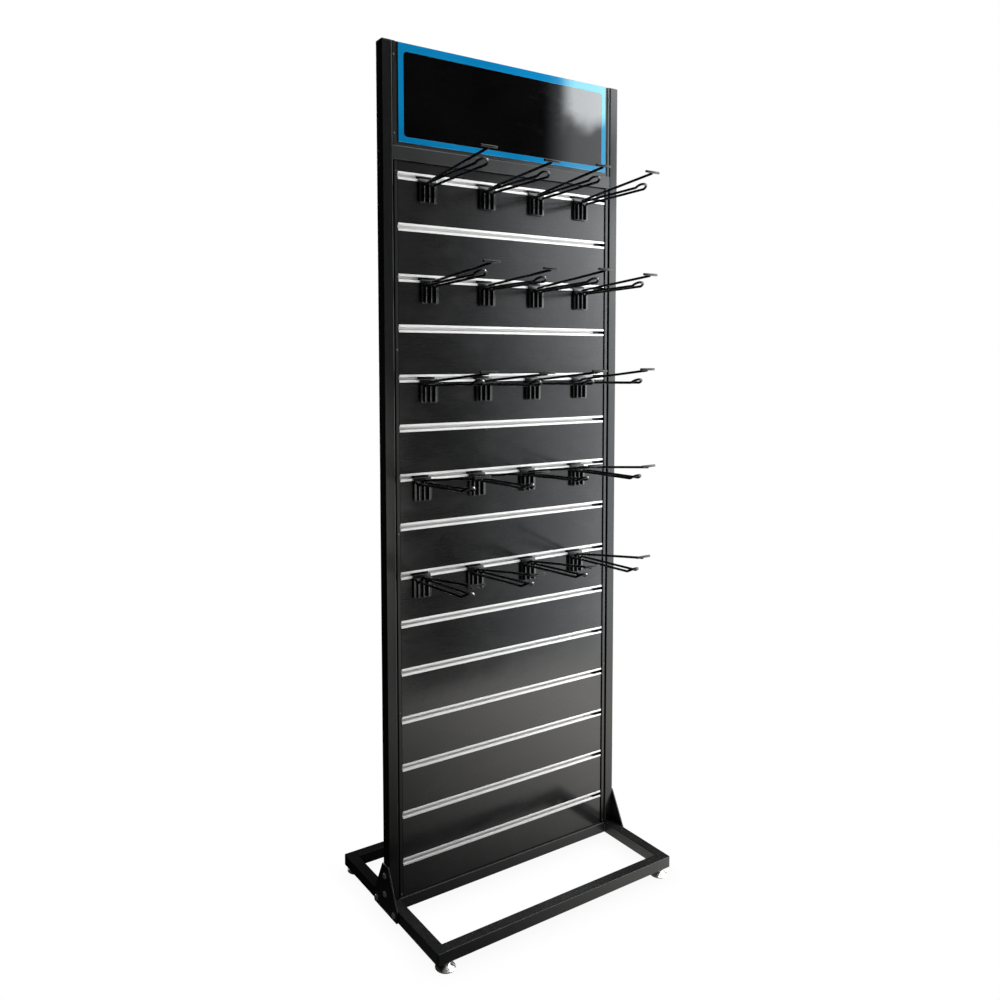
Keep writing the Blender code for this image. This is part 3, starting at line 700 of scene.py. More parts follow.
def corner_waste(corners):
    """What is ground off the upright edges of the base's corners."""
    shape = bmesh.new()
    out, steps = 2 * MM, 10
    centre_x, centre_y = HALF_WIDTH - BASE_CORNER_RADIUS, HALF_DEPTH - BASE_CORNER_RADIUS
    outline = [(HALF_WIDTH + out, HALF_DEPTH + out), (HALF_WIDTH + out, centre_y)]
    for step in range(steps + 1):
        angle = math.radians(90 * step / steps)
        outline.append((
            centre_x + BASE_CORNER_RADIUS * math.cos(angle),
            centre_y + BASE_CORNER_RADIUS * math.sin(angle),
        ))
    outline.append((centre_x, HALF_DEPTH + out))
    for side_x, side_y in corners:
        loft(shape, [
            [(side_x * x, side_y * y, z) for x, y in outline]
            for z in (RAIL_BOTTOM - out, RAIL_TOP + out)
        ])
    return shape


def mitred_tube(name, side, place, half_length):
    """One tube of the base's outer frame; half_length is measured along its middle line."""
    shape = bmesh.new()
    reach = half_length - SEAT
    tube(
        shape, RAIL_HALF, RAIL_HALF, RAIL_RADIUS, place, -reach, reach, mitre=side,
        chamfer=0.18 * MM,
    )
    return piece(
        "base_%s_tube" % name, shape, POWDER, nodes=["base_%s_rail" % name]
    )


def cross_tube():
    shape = bmesh.new()
    reach = HALF_WIDTH - RAIL - SEAT
    tube(
        shape, RAIL_HALF, RAIL_HALF, RAIL_RADIUS, along_x(CROSS_Y, RAIL_MID), -reach, reach
    )
    piece("base_cross_tube", shape, POWDER, nodes=["base_cross_rail"])


def base_welds():
    """Upright beads in the frame's corners and beside the cross tube, and one under its ends."""
    shape = bmesh.new()
    margin = 3 * MM          # left clear at each end of a bead
    low, high = RAIL_BOTTOM + margin, RAIL_TOP - margin
    proud = 0.4 * MM
    for side_x in (-1, 1):
        inner_x = side_x * (HALF_WIDTH - RAIL)
        x = inner_x - side_x * proud
        for side_y in (-1, 1):
            y = side_y * (HALF_DEPTH - RAIL) - side_y * proud
            bead(shape, (x, y, low), (x, y, high), 1.7 * MM)
        for side_y in (-1, 1):
            y = CROSS_Y + side_y * RAIL_HALF + side_y * proud
            bead(shape, (x, y, low), (x, y, high), 1.6 * MM)
        x = inner_x - side_x * 0.1 * MM
        z = RAIL_BOTTOM - 0.1 * MM
        reach = RAIL_HALF - margin
        bead(shape, (x, CROSS_Y - reach, z), (x, CROSS_Y + reach, z), 1.3 * MM)
    piece("base_weld_beads", shape, POWDER, sharp=60)


for side, name in ((-1, "front"), (1, "rear")):
    place = along_x(side * (HALF_DEPTH - RAIL_HALF), RAIL_MID)
    made = mitred_tube(name, side, place, HALF_WIDTH - RAIL_HALF)
    carve(made, foot_holes(side))
    carve(made, corner_waste(((-1, side), (1, side))))
for side, name in SIDES:
    place = along_y(side * (HALF_WIDTH - RAIL_HALF), RAIL_MID)
    made = mitred_tube(name, side, place, HALF_DEPTH - RAIL_HALF)
    carve(made, corner_waste(((side, -1), (side, 1))))
cross_tube()
base_welds()

# ============================================================================ feet
# (radius, height) in millimetres, from the sole up.
FOOT_DOME = [
    (0.4, 1.0), (13.0, 1.0), (16.0, 0.0), (19.1, 0.0), (19.6, 0.15), (19.9, 0.5), (20.0, 0.9),
    (19.95, 1.4), (19.7, 1.8), (19.2, 2.15), (16.2, 4.3), (13.2, 6.5), (10.6, 8.35), (9.6, 9.1),
    (9.0, 9.75), (8.7, 10.35), (8.6, 10.8), (0.4, 10.8),
]
# (scale of the hexagon, height in millimetres)
FOOT_NUT = ((0.93, 10.75), (1.0, 11.15), (1.0, 14.0), (0.93, 14.4))
NUT_HALF_FLATS = 6.5 * MM    # centre to flat
NUT_CORNER = 7.35 * MM       # centre to the turned-down corners
NUT_SIDES = 36
THREAD_PITCH = 1.25 * MM
THREAD_ROOT, THREAD_DEPTH = 3.42, 0.55     # radius and height of the thread, in millimetres
THREAD_LOW, THREAD_HIGH = 10.2 * MM, 31.2 * MM
STEM_TIP_RADIUS, STEM_TIP_Z = 3.0 * MM, 31.9 * MM
STEM_SIDES = 24


def jam_nut(shape):
    rings = []
    for scale, height in FOOT_NUT:
        ring = []
        for k in range(NUT_SIDES):
            angle = 2 * math.pi * k / NUT_SIDES
            flat = NUT_HALF_FLATS / math.cos((angle % (math.pi / 3)) - math.pi / 6)
            radius = min(flat, NUT_CORNER) * scale
            ring.append((radius * math.cos(angle), radius * math.sin(angle), height * MM))
        rings.append(ring)
    loft(shape, rings)


def threaded_stem(shape):
    angles = [2 * math.pi * k / STEM_SIDES for k in range(STEM_SIDES)]
    rings = []
    z = THREAD_LOW
    while z <= THREAD_HIGH:
        ring = []
        for k, angle in enumerate(angles):
            phase = (z / THREAD_PITCH - k / STEM_SIDES) % 1.0
            crest = 1.0 - 2.0 * abs(phase - 0.5)
            radius = (THREAD_ROOT + THREAD_DEPTH * min(1.0, crest * 1.25)) * MM
            ring.append((radius * math.cos(angle), radius * math.sin(angle), z))
        rings.append(ring)
        z += THREAD_PITCH / 6
    rings.append([
        (STEM_TIP_RADIUS * math.cos(a), STEM_TIP_RADIUS * math.sin(a), STEM_TIP_Z)
        for a in angles
    ])
    loft(shape, rings)


def foot_mesh():
    """A levelling foot about its own axis: turned dome, jam nut and threaded stem."""
    shape = bmesh.new()
    lathe(shape, mm(FOOT_DOME), (0, 0, 0), 96)
    jam_nut(shape)
    threaded_stem(shape)
    mesh = smooth_mesh("levelling_foot", shape, 34.0)
    mesh.materials.append(NICKEL)
    return mesh


foot_data = foot_mesh()
for side_y, depth_name in ((-1, "front"), (1, "rear")):
    for side_x, side_name in SIDES:
        where = "%s_%s" % (depth_name, side_name)
        foot = add_object("foot_turned_" + where, foot_data)
        foot.location = (side_x * FOOT_X, side_y * FOOT_Y + SETBACK, 0.0)
        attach(foot, "foot_" + where)
        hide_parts("levelling_foot_" + where)


# ============================================================================ posts
def post_rings(side, stations):
    """Rings round a post's middle from (inset, corner radius, z) stations."""
    return [
        [
            (side * POST_X + x, y, z)
            for x, y in rounded(POST_HALF_WIDTH - inset, POST_HALF_DEPTH - inset, radius)
        ]
        for inset, radius, z in stations
    ]


def post_tube(side, name):
    shape = bmesh.new()
    tube(
        shape, POST_HALF_WIDTH, POST_HALF_DEPTH, POST_RADIUS, along_z(side * POST_X),
        RAIL_TOP + 0.1 * MM, SEAM_Z, chamfer=0.3 * MM,
    )
    piece("%s_post_tube" % name, shape, POWDER_POST, nodes=["%s_post" % name])


def header_post(side, name):
    """The upper post, with a narrower sleeve that reaches down into the lower one."""
    sleeve_foot = SEAM_Z - 60 * MM
    shoulder = SEAM_Z + 0.3 * MM
    rim = TOP_Z - 3.0 * MM
    shape = bmesh.new()
    loft(shape, post_rings(side, [
        (3.4 * MM, 0.5 * MM, TOP_Z - 6 * MM),
        (3.4 * MM, 0.5 * MM, sleeve_foot),
        (1.9 * MM, 1.0 * MM, sleeve_foot),
        (1.9 * MM, 1.0 * MM, shoulder),
        (0.3 * MM, POST_RADIUS, shoulder),
        (0.0, POST_RADIUS, SEAM_Z + 0.6 * MM),
        (0.0, POST_RADIUS, TOP_Z - 3.3 * MM),
        (0.2 * MM, POST_RADIUS, rim),
        (3.4 * MM, 0.5 * MM, rim),
    ]), closed=True)
    piece(
        "%s_header_tube" % name, shape, POWDER_POST,
        nodes=["header_%s_post" % name],
    )


def post_cap(side, name):
    """The plug in a header post's open top."""
    underside = TOP_Z - 2.9 * MM
    shape = bmesh.new()
    loft(shape, post_rings(side, [
        (3.6 * MM, 0.5 * MM, TOP_Z - 14 * MM),
        (3.5 * MM, 0.5 * MM, underside),
        (0.5 * MM, POST_RADIUS, underside),
        (0.05 * MM, POST_RADIUS, TOP_Z - 2.5 * MM),
        (0.05 * MM, POST_RADIUS, TOP_Z - 1.5 * MM),
        (0.35 * MM, POST_RADIUS, TOP_Z - 0.7 * MM),
        (1.0 * MM, POST_RADIUS, TOP_Z - 0.2 * MM),
        (2.0 * MM, POST_RADIUS, TOP_Z),
    ]))
    piece("%s_post_end_cap" % name, shape, SIGN_BACK)


# ============================================================================ channels
# Middle lines of the folded sheets in plan, (x, y) in millimetres, on the right-hand side.
EDGE_CHANNEL = [
    (272.2, -10.3), (279.0, -10.3), (279.0, -5.8), (CHANNEL_X, -5.8), (CHANNEL_X, 10.8),
    (269.0, 10.8),
]
SIGN_CHANNEL = [(275.8, -10.6), (CHANNEL_X, -10.6), (CHANNEL_X, -0.2), (275.8, -0.2)]


def channel(name, side, line, low, high, node):
    shape = bmesh.new()
    outline = folded([(side * x, y) for x, y in mm(line)], SHEET, 1.1 * MM, 4)
    bar(shape, outline, along_z(), low, high, 0.2 * MM, 1)
    piece(name, shape, POWDER_CHANNEL, nodes=[node])


# ============================================================================ gussets
# (y, z, corner radius) in millimetres.
GUSSET = [
    (-50, 14, 4), (50, 14, 4), (50, 36.5, 5), (11.5, 115, 3.5), (-11.5, 115, 3.5), (-50, 36.5, 5),
]
GUSSET_BOLTS = [(0.0, 91.5), (0.0, 52.5), (-37.0, 27.0), (37.0, 27.0)]    # (y, z)
# (radius, height) in millimetres from the plate outwards.
WASHER = [(3.4, 0.0), (6.2, 0.0), (6.5, 0.25), (6.5, 0.75), (6.2, 1.0), (3.4, 1.0)]
BOLT_HEAD = [
    (2.6, 0.6), (5.4, 0.95), (5.55, 1.2), (5.5, 1.7), (5.2, 2.4), (4.6, 3.1), (3.8, 3.6),
    (3.0, 3.85), (2.1, 3.9), (1.95, 3.6), (1.9, 2.0), (0.5, 1.9),
]


def gusset(side, name):
    """The plate outside a post and the base's side tube."""
    outline = fillet(
        mm((y, z) for y, z, _ in GUSSET), [radius * MM for _, _, radius in GUSSET], 6
    )
    shape = bmesh.new()
    bar(
        shape, outline, lambda across, over, along: (side * along, across, over),
        HALF_WIDTH + 0.1 * MM, HALF_WIDTH + 3.3 * MM, 0.45 * MM, 2,
    )
    piece(
        "%s_gusset" % name, shape, POWDER_GUSSET, nodes=["%s_gusset_plate" % name]
    )


def gusset_bolts(side, name):
    shape = bmesh.new()
    for y, z in mm(GUSSET_BOLTS):
        base = (side * (HALF_WIDTH + 3.2 * MM), y, z)
        for profile in (WASHER, BOLT_HEAD):
            lathe(shape, mm(profile), base, 36, OUTWARD[side])
    piece("%s_gusset_bolts" % name, shape, ZINC, sharp=50)


for side, name in SIDES:
    post_tube(side, name)
    header_post(side, name)
    post_cap(side, name)
    channel(
        "%s_edge_channel" % name, side, EDGE_CHANNEL, RAIL_TOP + 0.3 * MM, SEAM_Z - 0.3 * MM,
        "%s_panel_channel" % name,
    )
    channel(
        "%s_sign_channel" % name, side, SIGN_CHANNEL, 1569.0 * MM, PANEL_TOP,
        "header_%s_channel" % name,
    )
    gusset(side, name)
    gusset_bolts(side, name)

# ============================================================================ small screws
# Outside each post, in front of the sign channel, then in front of the edge channel:
# x, y, heights, head radius, head height, all in millimetres. Only the first row faces outward.
SCREW_ROWS = (
    (HALF_WIDTH / MM, 0.0, (1530.0, 1556.0), 3.0, 1.4),
    (279.0, -11.3, (1592.0, 1742.0), 1.9, 1.0),
    (275.9, -11.0, (46.0, 430.0, 800.0, 1170.0, 1520.0), 1.9, 0.9),
)


def screw(shape, at, axis, radius, height):
    """A domed head with a recess in its middle."""
    head = [
        (radius * 0.5, -0.2), (radius, 0.0), (radius, 0.25), (radius * 0.93, height * 0.6),
        (radius * 0.72, height * 0.9), (radius * 0.45, height), (radius * 0.40, height * 0.92),
        (radius * 0.34, height * 0.35), (radius * 0.1, height * 0.3),
    ]
    lathe(shape, mm(head), at, 28, axis)


for side, name in SIDES:
    shape = bmesh.new()
    for row, (x, y, heights, radius, height) in enumerate(SCREW_ROWS):
        axis = OUTWARD[side] if row == 0 else "-Y"
        for z in heights:
            screw(shape, (side * x * MM, y * MM, z * MM), axis, radius, height)
    piece("%s_fixing_screws" % name, shape, SCREW_BLACK, sharp=50)


# ============================================================================ slatwall board
def finish_board():
    """Gives the CAD's own board its finish and softens its edges."""
    board = frame["nodes"]["slatwall_board"]
    board.data.materials.clear()
    board.data.materials.append(BOARD)
    weld = board.modifiers.new("weld", "WELD")
    weld.merge_threshold = 0.00002
    soft = board.modifiers.new("arris", "BEVEL")
    soft.width = 0.35 * MM
    soft.segments = 2
    soft.limit_method = "ANGLE"
    soft.angle_limit = math.radians(40)
    weighted_normals(board, weight=90, keep_sharp=False)


def top_seal():
    """The thin strip along the board's top."""
    section = mm([(-3.0, 1539.6), (6.0, 1539.6), (6.0, 1541.7), (-3.0, 1541.7)])   # (y, z)
    half_length = 279.5 * MM
    shape = bmesh.new()
    bar(shape, fillet(section, 0.5 * MM, 3), along_x(), -half_length, half_length, 0.3 * MM, 2)
    piece("board_top_seal", shape, SIGN_BACK)


finish_board()
top_seal()

# ============================================================================ slot inserts
# In millimetres, about the slot's centre line.
INSERT_WALL = 1.2
INSERT_FRONT, INSERT_LIP_BACK, INSERT_NECK, INSERT_BACK = -9.4, -8.5, -3.6, 2.0   # along y
INSERT_LIP, INSERT_MOUTH, INSERT_HALF_HEIGHT = 7.8, 3.2, 8.0                      # along z
INSERT_HALF_LENGTH = 269.8


def insert_mesh():
    """One extrusion about its slot's centre line: lips in front, a wider pocket behind."""
    neck = INSERT_MOUTH + INSERT_WALL
    neck_inside = INSERT_NECK + INSERT_WALL
    pocket = INSERT_HALF_HEIGHT - INSERT_WALL
    # (y, z, corner radius); each list is mirrored in z to complete it.
    outside = [
        (INSERT_FRONT, INSERT_LIP, 0.55), (INSERT_LIP_BACK, INSERT_LIP, 0.2),
        (INSERT_LIP_BACK, neck, 0.15), (INSERT_NECK, neck, 0.15),
        (INSERT_NECK, INSERT_HALF_HEIGHT, 0.3), (INSERT_BACK, INSERT_HALF_HEIGHT, 0.5),
    ]
    inside = [
        (INSERT_FRONT, -INSERT_MOUTH, 0.55), (neck_inside, -INSERT_MOUTH, 0.3),
        (neck_inside, -pocket, 0.2), (INSERT_BACK - INSERT_WALL, -pocket, 0.3),
    ]
    points = []
    for half in (outside, inside):
        points += half + [(y, -z, radius) for y, z, radius in reversed(half)]
    outline = fillet(
        mm((y, z) for y, z, _ in points), [radius * MM for _, _, radius in points], 3
    )
    shape = bmesh.new()
    reach = INSERT_HALF_LENGTH * MM
    bar(shape, outline, along_x(), -reach, reach, 0.12 * MM, 1)
    mesh = smooth_mesh("slot_insert", shape, 42.0)
    mesh.materials.append(ALUMINIUM)
    return mesh


insert_data = insert_mesh()
for number in range(1, SLOT_COUNT + 1):
    made = add_object("aluminium_insert_%02d" % number, insert_data)
    made.location = (0.0, SETBACK, slot_z(number))
    weighted_normals(made, weight=50)
    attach(made, "stand")
    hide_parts("slot_insert_%02d" % number)

# ============================================================================ header and sign
HEADER_RAIL_BOTTOM, HEADER_RAIL_TOP = 1541.8, 1568.7
# The sign's backing in plan, (x, y) in millimetres.
BACKING = [
    (-275, -9.7), (275, -9.7), (275, -7.5), (280, -7.5), (280, -3.5), (-280, -3.5),
    (-280, -7.5), (-275, -7.5),
]
# Upright rectangles, (half width, bottom, top) in millimetres, and their corner radii.
BORDER, BORDER_RADIUS = (269.0, 1576.5, 1766.9), 0.9
FACE, FACE_RADIUS = (256.8, 1587.5, 1751.0), 8.0
SIGN_FRONT, SIGN_REAR = -12.0, -10.0     # y of the border and face
FACE_GAP = 0.15                          # between the face and the border's opening
BORDER_CHAMFER = 0.25
INNER_CHAMFER = 0.1                      # of the face and of the border's opening


def header_rail():
    shape = bmesh.new()
    half_height = (HEADER_RAIL_TOP - HEADER_RAIL_BOTTOM) / 2 * MM
    middle = (HEADER_RAIL_TOP + HEADER_RAIL_BOTTOM) / 2 * MM
    reach = CHANNEL_OUTER + 0.2 * MM
    tube(
        shape, POST_HALF_DEPTH, half_height, POST_RADIUS, along_x(z=middle), -reach, reach
    )
    piece(
        "header_bottom_tube", shape, POWDER_RAIL, nodes=["header_bottom_rail"]
    )


def sign_backing():
    shape = bmesh.new()
    outline = fillet(mm(BACKING), 0.4 * MM, 3)
    bar(shape, outline, along_z(), 1569.5 * MM, PANEL_TOP, 0.4 * MM, 2)
    piece(
        "sign_backing_panel", shape, SIGN_BACK, nodes=["sign_backing"],
        body="header_sign",
    )


def sign_ring(rectangle, grow, radius, y):
    """A rounded rectangle in an upright plane, grown outwards; all in millimetres."""
    half_width, bottom, top = rectangle
    middle = (bottom + top) / 2
    outline = rounded(half_width + grow, (top - bottom) / 2 + grow, radius, 10)
    return [(x * MM, y * MM, (middle + z) * MM) for x, z in outline]


def sign_border():
    opening_radius = FACE_RADIUS + FACE_GAP
    shape = bmesh.new()
    loft(shape, [
        sign_ring(BORDER, -BORDER_CHAMFER, BORDER_RADIUS, SIGN_FRONT),
        sign_ring(BORDER, 0.0, BORDER_RADIUS, SIGN_FRONT + BORDER_CHAMFER),
        sign_ring(BORDER, 0.0, BORDER_RADIUS, SIGN_REAR),
        sign_ring(FACE, FACE_GAP, opening_radius, SIGN_REAR),
        sign_ring(FACE, FACE_GAP, opening_radius, SIGN_FRONT + INNER_CHAMFER),
        sign_ring(FACE, FACE_GAP + INNER_CHAMFER, opening_radius + INNER_CHAMFER, SIGN_FRONT),
    ], closed=True)
    piece(
        "sign_blue_border", shape, SIGN_BLUE, nodes=["sign_border"],
        body="header_sign",
    )


def sign_face():
    shape = bmesh.new()
    loft(shape, [
        sign_ring(FACE, 0.0, FACE_RADIUS, SIGN_REAR),
        sign_ring(FACE, 0.0, FACE_RADIUS, SIGN_FRONT + INNER_CHAMFER),
        sign_ring(FACE, -INNER_CHAMFER, FACE_RADIUS - INNER_CHAMFER, SIGN_FRONT),
    ])
    piece(
        "sign_black_face", shape, SIGN_FACE, nodes=["sign_face"],
        body="header_sign",
    )


header_rail()
sign_backing()
sign_border()
sign_face()

# ============================================================================ hooks
# Each hook is built about its own slot's centre line.
UP = Vector((0.0, 0.0, 1.0))
WIRE_RADIUS = 2.6 * MM
WIRE_SIDES = 20
PLATE_FRONT = -13.6 * MM
PLATE_THICKNESS = 2.0 * MM
TONGUE_THICKNESS = 1.5 * MM
PLATE_HALF_WIDTH = 20.5 * MM
PLATE_CORNER = 4.5 * MM
WIRE_Y = PLATE_FRONT - WIRE_RADIUS + 0.4 * MM    # the wires are sunk a little into the plate
LEG_FOOT = -48.5 * MM
LEG_TOP = -34 * MM
BEND_RADIUS = 7 * MM         # where a wire leaves the plate
PRONG_X = 12 * MM            # half the distance between the two prongs
PRONG_ROOT_Z = -13.7 * MM
PRONG_LENGTH = 175 * MM
TIP_TILT = math.radians(30)
ARM_ROOT_Z = -7 * MM
ARM_LENGTH = 215 * MM
GLINT_TURN = math.radians(62)      # how far round the loop the painted glint sits
GLINT_RADII = (3.2, 2.6, 3.0, 0.0)       # radius of the painted glint spot in each column, in millimetres

# The wires are bent by hand. Each row is a slot number and its hooks from left to right:
# x in millimetres, the arm's rise and turn to the right, then the prongs', in degrees.
HOOK_ROWS = (
    (1, ((-203, 5.9, -0.8, 2.8, 2.2), (-58, 3.5, -0.9, 0.5, 1.8),
         (71, 5.1, -1.0, 2.0, 1.5), (196, 5.8, 1.0, 1.7, 2.5))),
    (3, ((-200, 4.9, 0.1, 2.2, -0.1), (-59.5, 3.4, -0.8, 0.4, -0.3),
         (70.5, 5.0, 1.2, 1.8, 1.0), (197, 3.9, -0.2, 1.1, 0.0))),
    (5, ((-203, 4.8, -1.0, 1.4, -0.8), (-67.5, 4.2, -1.1, 0.4, -1.3),
         (62.5, 4.9, -0.5, 0.4, -0.1), (196, 5.6, -1.2, 0.6, -0.1))),
    (7, ((-219, 7.2, -0.5, 2.1, -2.5), (-85, 7.1, 0.4, 0.6, -1.0),
         (48, 8.1, 1.1, 2.0, 0.7), (190.5, 5.3, 1.8, 0.0, 1.6))),
    (9, ((-222, 7.5, -3.5, 2.5, -2.3), (-89.5, 8.0, -1.0, 2.9, 0.1),
         (50.5, 7.4, -1.8, 2.7, -0.8), (186.5, 8.0, -0.2, 0.5, 1.2))),
)


def heading(rise, turn):
    """The forward direction, raised and turned to the right."""
    return Vector((
        math.sin(turn) * math.cos(rise), -math.cos(turn) * math.cos(rise), math.sin(rise)
    ))


def rightward(turn):
    return Vector((math.cos(turn), math.sin(turn), 0.0))


def prong_path(rise, turn):
    """The double prong's middle line, and the middle of its raised tip."""
    tip = heading(TIP_TILT, turn)
    across = rightward(turn)
    middle_knee = Vector((0.0, WIRE_Y, PRONG_ROOT_Z)) + heading(rise, turn) * PRONG_LENGTH

    def half(side):
        x = side * PRONG_X
        root = Vector((x, WIRE_Y, PRONG_ROOT_Z))
        knee = middle_knee + across * x
        along = (knee - root).normalized()
        path = [Vector((x, WIRE_Y, LEG_FOOT)), Vector((x, WIRE_Y, LEG_TOP))]
        path += arc(root, UP, along, BEND_RADIUS, 8)
        path += [root + (knee - root) * k / 6 for k in range(1, 6)]
        path += arc(knee, along, tip, 9 * MM, 5)
        centre = knee + tip * 2 * MM - across * x
        for i in range(1, 12):
            angle = math.pi * i / 24
            sideways = across * (x * math.cos(angle))
            path.append(centre + sideways + tip * (PRONG_X * math.sin(angle)))
        return path, centre + tip * PRONG_X

    left, middle = half(-1)
    right, _ = half(1)
    return left + [middle] + right[::-1], middle


def arm_path(rise, turn):
    out = heading(rise, turn)
    root = Vector((0.0, WIRE_Y, ARM_ROOT_Z))
    path = [Vector((0.0, WIRE_Y, z)) for z in (LEG_FOOT, LEG_TOP, -22 * MM)]
    path += arc(root, UP, out, BEND_RADIUS, 8)
    path += [root + out * (ARM_LENGTH * k / 5) for k in range(1, 6)]
    return path


def hook_plate(shape):
    """The back plate: rounded foot corners, a sloping shoulder, the tongue in the slot."""
    middle = (PLATE_FRONT + PLATE_THICKNESS / 2) / MM
    # Middle line from foot to tongue, (y, z) in millimetres.
    line = mm([
        (middle, -50), (middle, -8.3), (-10.2, -2.15), (-0.25, -2.15), (-0.25, 6.2),
    ])
    line = fillet(line, [0.0, 1.6 * MM, 1.2 * MM, 1.1 * MM, 0.0], 6, closed=False)
    first, last = line[0], line[-1]
    upward = (line[1] - first).normalized()
    stations = []            # (place, half width, thickness)
    for step in (0.0, 0.35, 1.1, 2.2, 3.3, 4.5):
        rise = step * MM
        bulge = math.sqrt(max(0.0, PLATE_CORNER ** 2 - (PLATE_CORNER - rise) ** 2))
        half = PLATE_HALF_WIDTH - PLATE_CORNER + bulge
        stations.append((first + upward * rise, half, PLATE_THICKNESS))
    for point in line[1:-1]:
        thick = PLATE_THICKNESS if point.x < -6 * MM and point.y < -6 * MM else TONGUE_THICKNESS
        stations.append((point, PLATE_HALF_WIDTH, thick))
    for below, narrower in ((1.2, 0.0), (0.4, 0.4), (0.0, 1.1)):
        at = last - Vector((0.0, below * MM))
        stations.append((at, PLATE_HALF_WIDTH - narrower * MM, TONGUE_THICKNESS))
    rings = []
    for i, (point, half, thick) in enumerate(stations):
        before = stations[max(i - 1, 0)][0]
        after = stations[min(i + 1, len(stations) - 1)][0]
        ahead = (after - before).normalized()
        normal = Vector((-ahead.y, ahead.x))
        thin = 0.72 if i in (0, len(stations) - 1) else 1.0
        section = rounded(half, thick / 2 * thin, 0.45 * MM * thin, 3)
        rings.append([
            (x, point.x + normal.x * out, point.y + normal.y * out) for x, out in section
        ])
    loft(shape, rings)


def arm_end(shape, end, turn):
    """The crossbar on the arm's end, with its two welds."""
    middle = end + Vector((0.0, -0.5 * MM, WIRE_RADIUS * 0.9))
    reach = rightward(turn) * 19 * MM
    sweep(shape, [middle - reach, middle, middle + reach], 2.5 * MM, WIRE_SIDES, blunt=1.4)
    for side in (-1, 1):
        start = end + Vector((side * 1.7 * MM, 3.2 * MM, 1.4 * MM))
        bead(shape, start, start + Vector((side * 0.6 * MM, -3.0 * MM, 0.4 * MM)), 0.8 * MM)


def plate_welds(shape):
    """Two pairs of beads beside each wire's leg."""
    y = PLATE_FRONT - 0.45 * MM
    for leg in (-PRONG_X, 0.0, PRONG_X):
        for side in (-1, 1):
            x = leg + side * 1.9 * MM
            for low, high in ((-46.5, -39.0), (-28.5, -21.0)):
                bead(shape, (x, y, low * MM), (x, y, high * MM), 0.95 * MM)


def hook_mesh(name, bends, wear_and_glint):
    arm_rise, arm_turn, prong_rise, prong_turn = map(math.radians, bends)
    shape = bmesh.new()
    hook_plate(shape)
    prongs, tip = prong_path(prong_rise, prong_turn)
    sweep(shape, prongs, WIRE_RADIUS, WIRE_SIDES)
    arm = arm_path(arm_rise, arm_turn)
    sweep(shape, arm, WIRE_RADIUS, WIRE_SIDES)
    arm_end(shape, arm[-1], arm_turn)
    plate_welds(shape)
    mesh = smooth_mesh(name, shape, 50.0)
    mesh.materials.append(HOOK)
    mesh.materials.append(PAINTED_GLINT_TIP)
    ahead = heading(TIP_TILT, prong_turn)
    rubbed_and_glint_spot = tip + ahead * (PRONG_X * (math.sin(GLINT_TURN) - 1.0))
    rubbed_and_glint_spot += rightward(prong_turn) * (PRONG_X * math.cos(GLINT_TURN))
    rubbed_and_glint_spot += (ahead * 0.9 + UP * 2.4) * MM      # out to the wire's upper surface
    # Painted highlight: faces near this point take the painted glint finish.
    for face in mesh.polygons:
        if (face.center - rubbed_and_glint_spot).length < wear_and_glint * MM:
            face.material_index = 1
    return mesh


for row, (slot, hooks) in enumerate(HOOK_ROWS, start=1):
    for column, ((x, *bends), wear_and_glint) in enumerate(zip(hooks, GLINT_RADII), start=1):
        mesh = hook_mesh("hook_%d_%d" % (row, column), bends, wear_and_glint)
        made = add_object("price_arm_hook_%d_%d" % (row, column), mesh)
        made.location = (x * MM, SETBACK, slot_z(slot))
        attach(made, "hook_%d_%d" % (row, column))
        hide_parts("hook_r%d_%d" % (row, column))


# ============================================================================ floor and world
def flat_card(name, corners, material):
    shape = bmesh.new()
    shape.faces.new([shape.verts.new(point) for point in corners])
    mesh = plain_mesh(name, shape)
    mesh.materials.append(material)
    return add_object(name, mesh)


def floor_material():
    """White to the camera with faint contact shade; lights the stand from the right front."""
    mat = new_material("pale_floor")
    x, y, _ = mat.axes()
    rightward_glow = mat.span(x, over=(-0.35, 1.1), to=(0.05, 2.9))
    frontward_glow = mat.span(y, over=(-0.25, 0.20), to=(1.0, 0.15))
    hidden = mat.add("Emission", {
        "Color": (1.0, 0.98, 0.95), "Strength": mat.times(rightward_glow, frontward_glow),
    })
    near = mat.add("AmbientOcclusion", {"Distance": 0.05}, samples=6)
    shade = mat.span(near.outputs["AO"], to=(0.90, 1.0), curve="LINEAR")
    seen = mat.add("Emission", {"Strength": shade})
    return mat.finish(mat.split_by_ray(hidden, seen))


def studio_floor():
    size = 14.0
    corners = [(-size, -size, 0.0), (size, -size, 0.0), (size, size, 0.0), (-size, size, 0.0)]
    flat_card("studio_floor", corners, floor_material())


def studio_world():
    """White to the camera; a dim glow from the right, the front and above for the rest."""
    sky = NodeTree(bpy.data.worlds.new("studio_world"), "Generated")
    x, y, z = sky.axes()
    ambient = 0.014
    from_right = sky.span(x, over=(-0.2, 0.9), to=(0.0, 0.28))
    from_front = sky.span(y, over=(-0.2, 0.5), to=(1.0, 0.15))
    from_above = sky.span(z, over=(0.1, 0.9), to=(0.0, 0.10))
    glow = sky.plus(sky.times(from_right, from_front), sky.times(from_above, from_front))
    hidden = sky.add("Background", {"Strength": sky.plus(glow, ambient)})
    seen = sky.add("Background", {"Color": (1.0, 1.0, 1.0), "Strength": 1.0})
    scene.world = sky.finish(sky.split_by_ray(hidden, seen), "OutputWorld")


studio_floor()
studio_world()


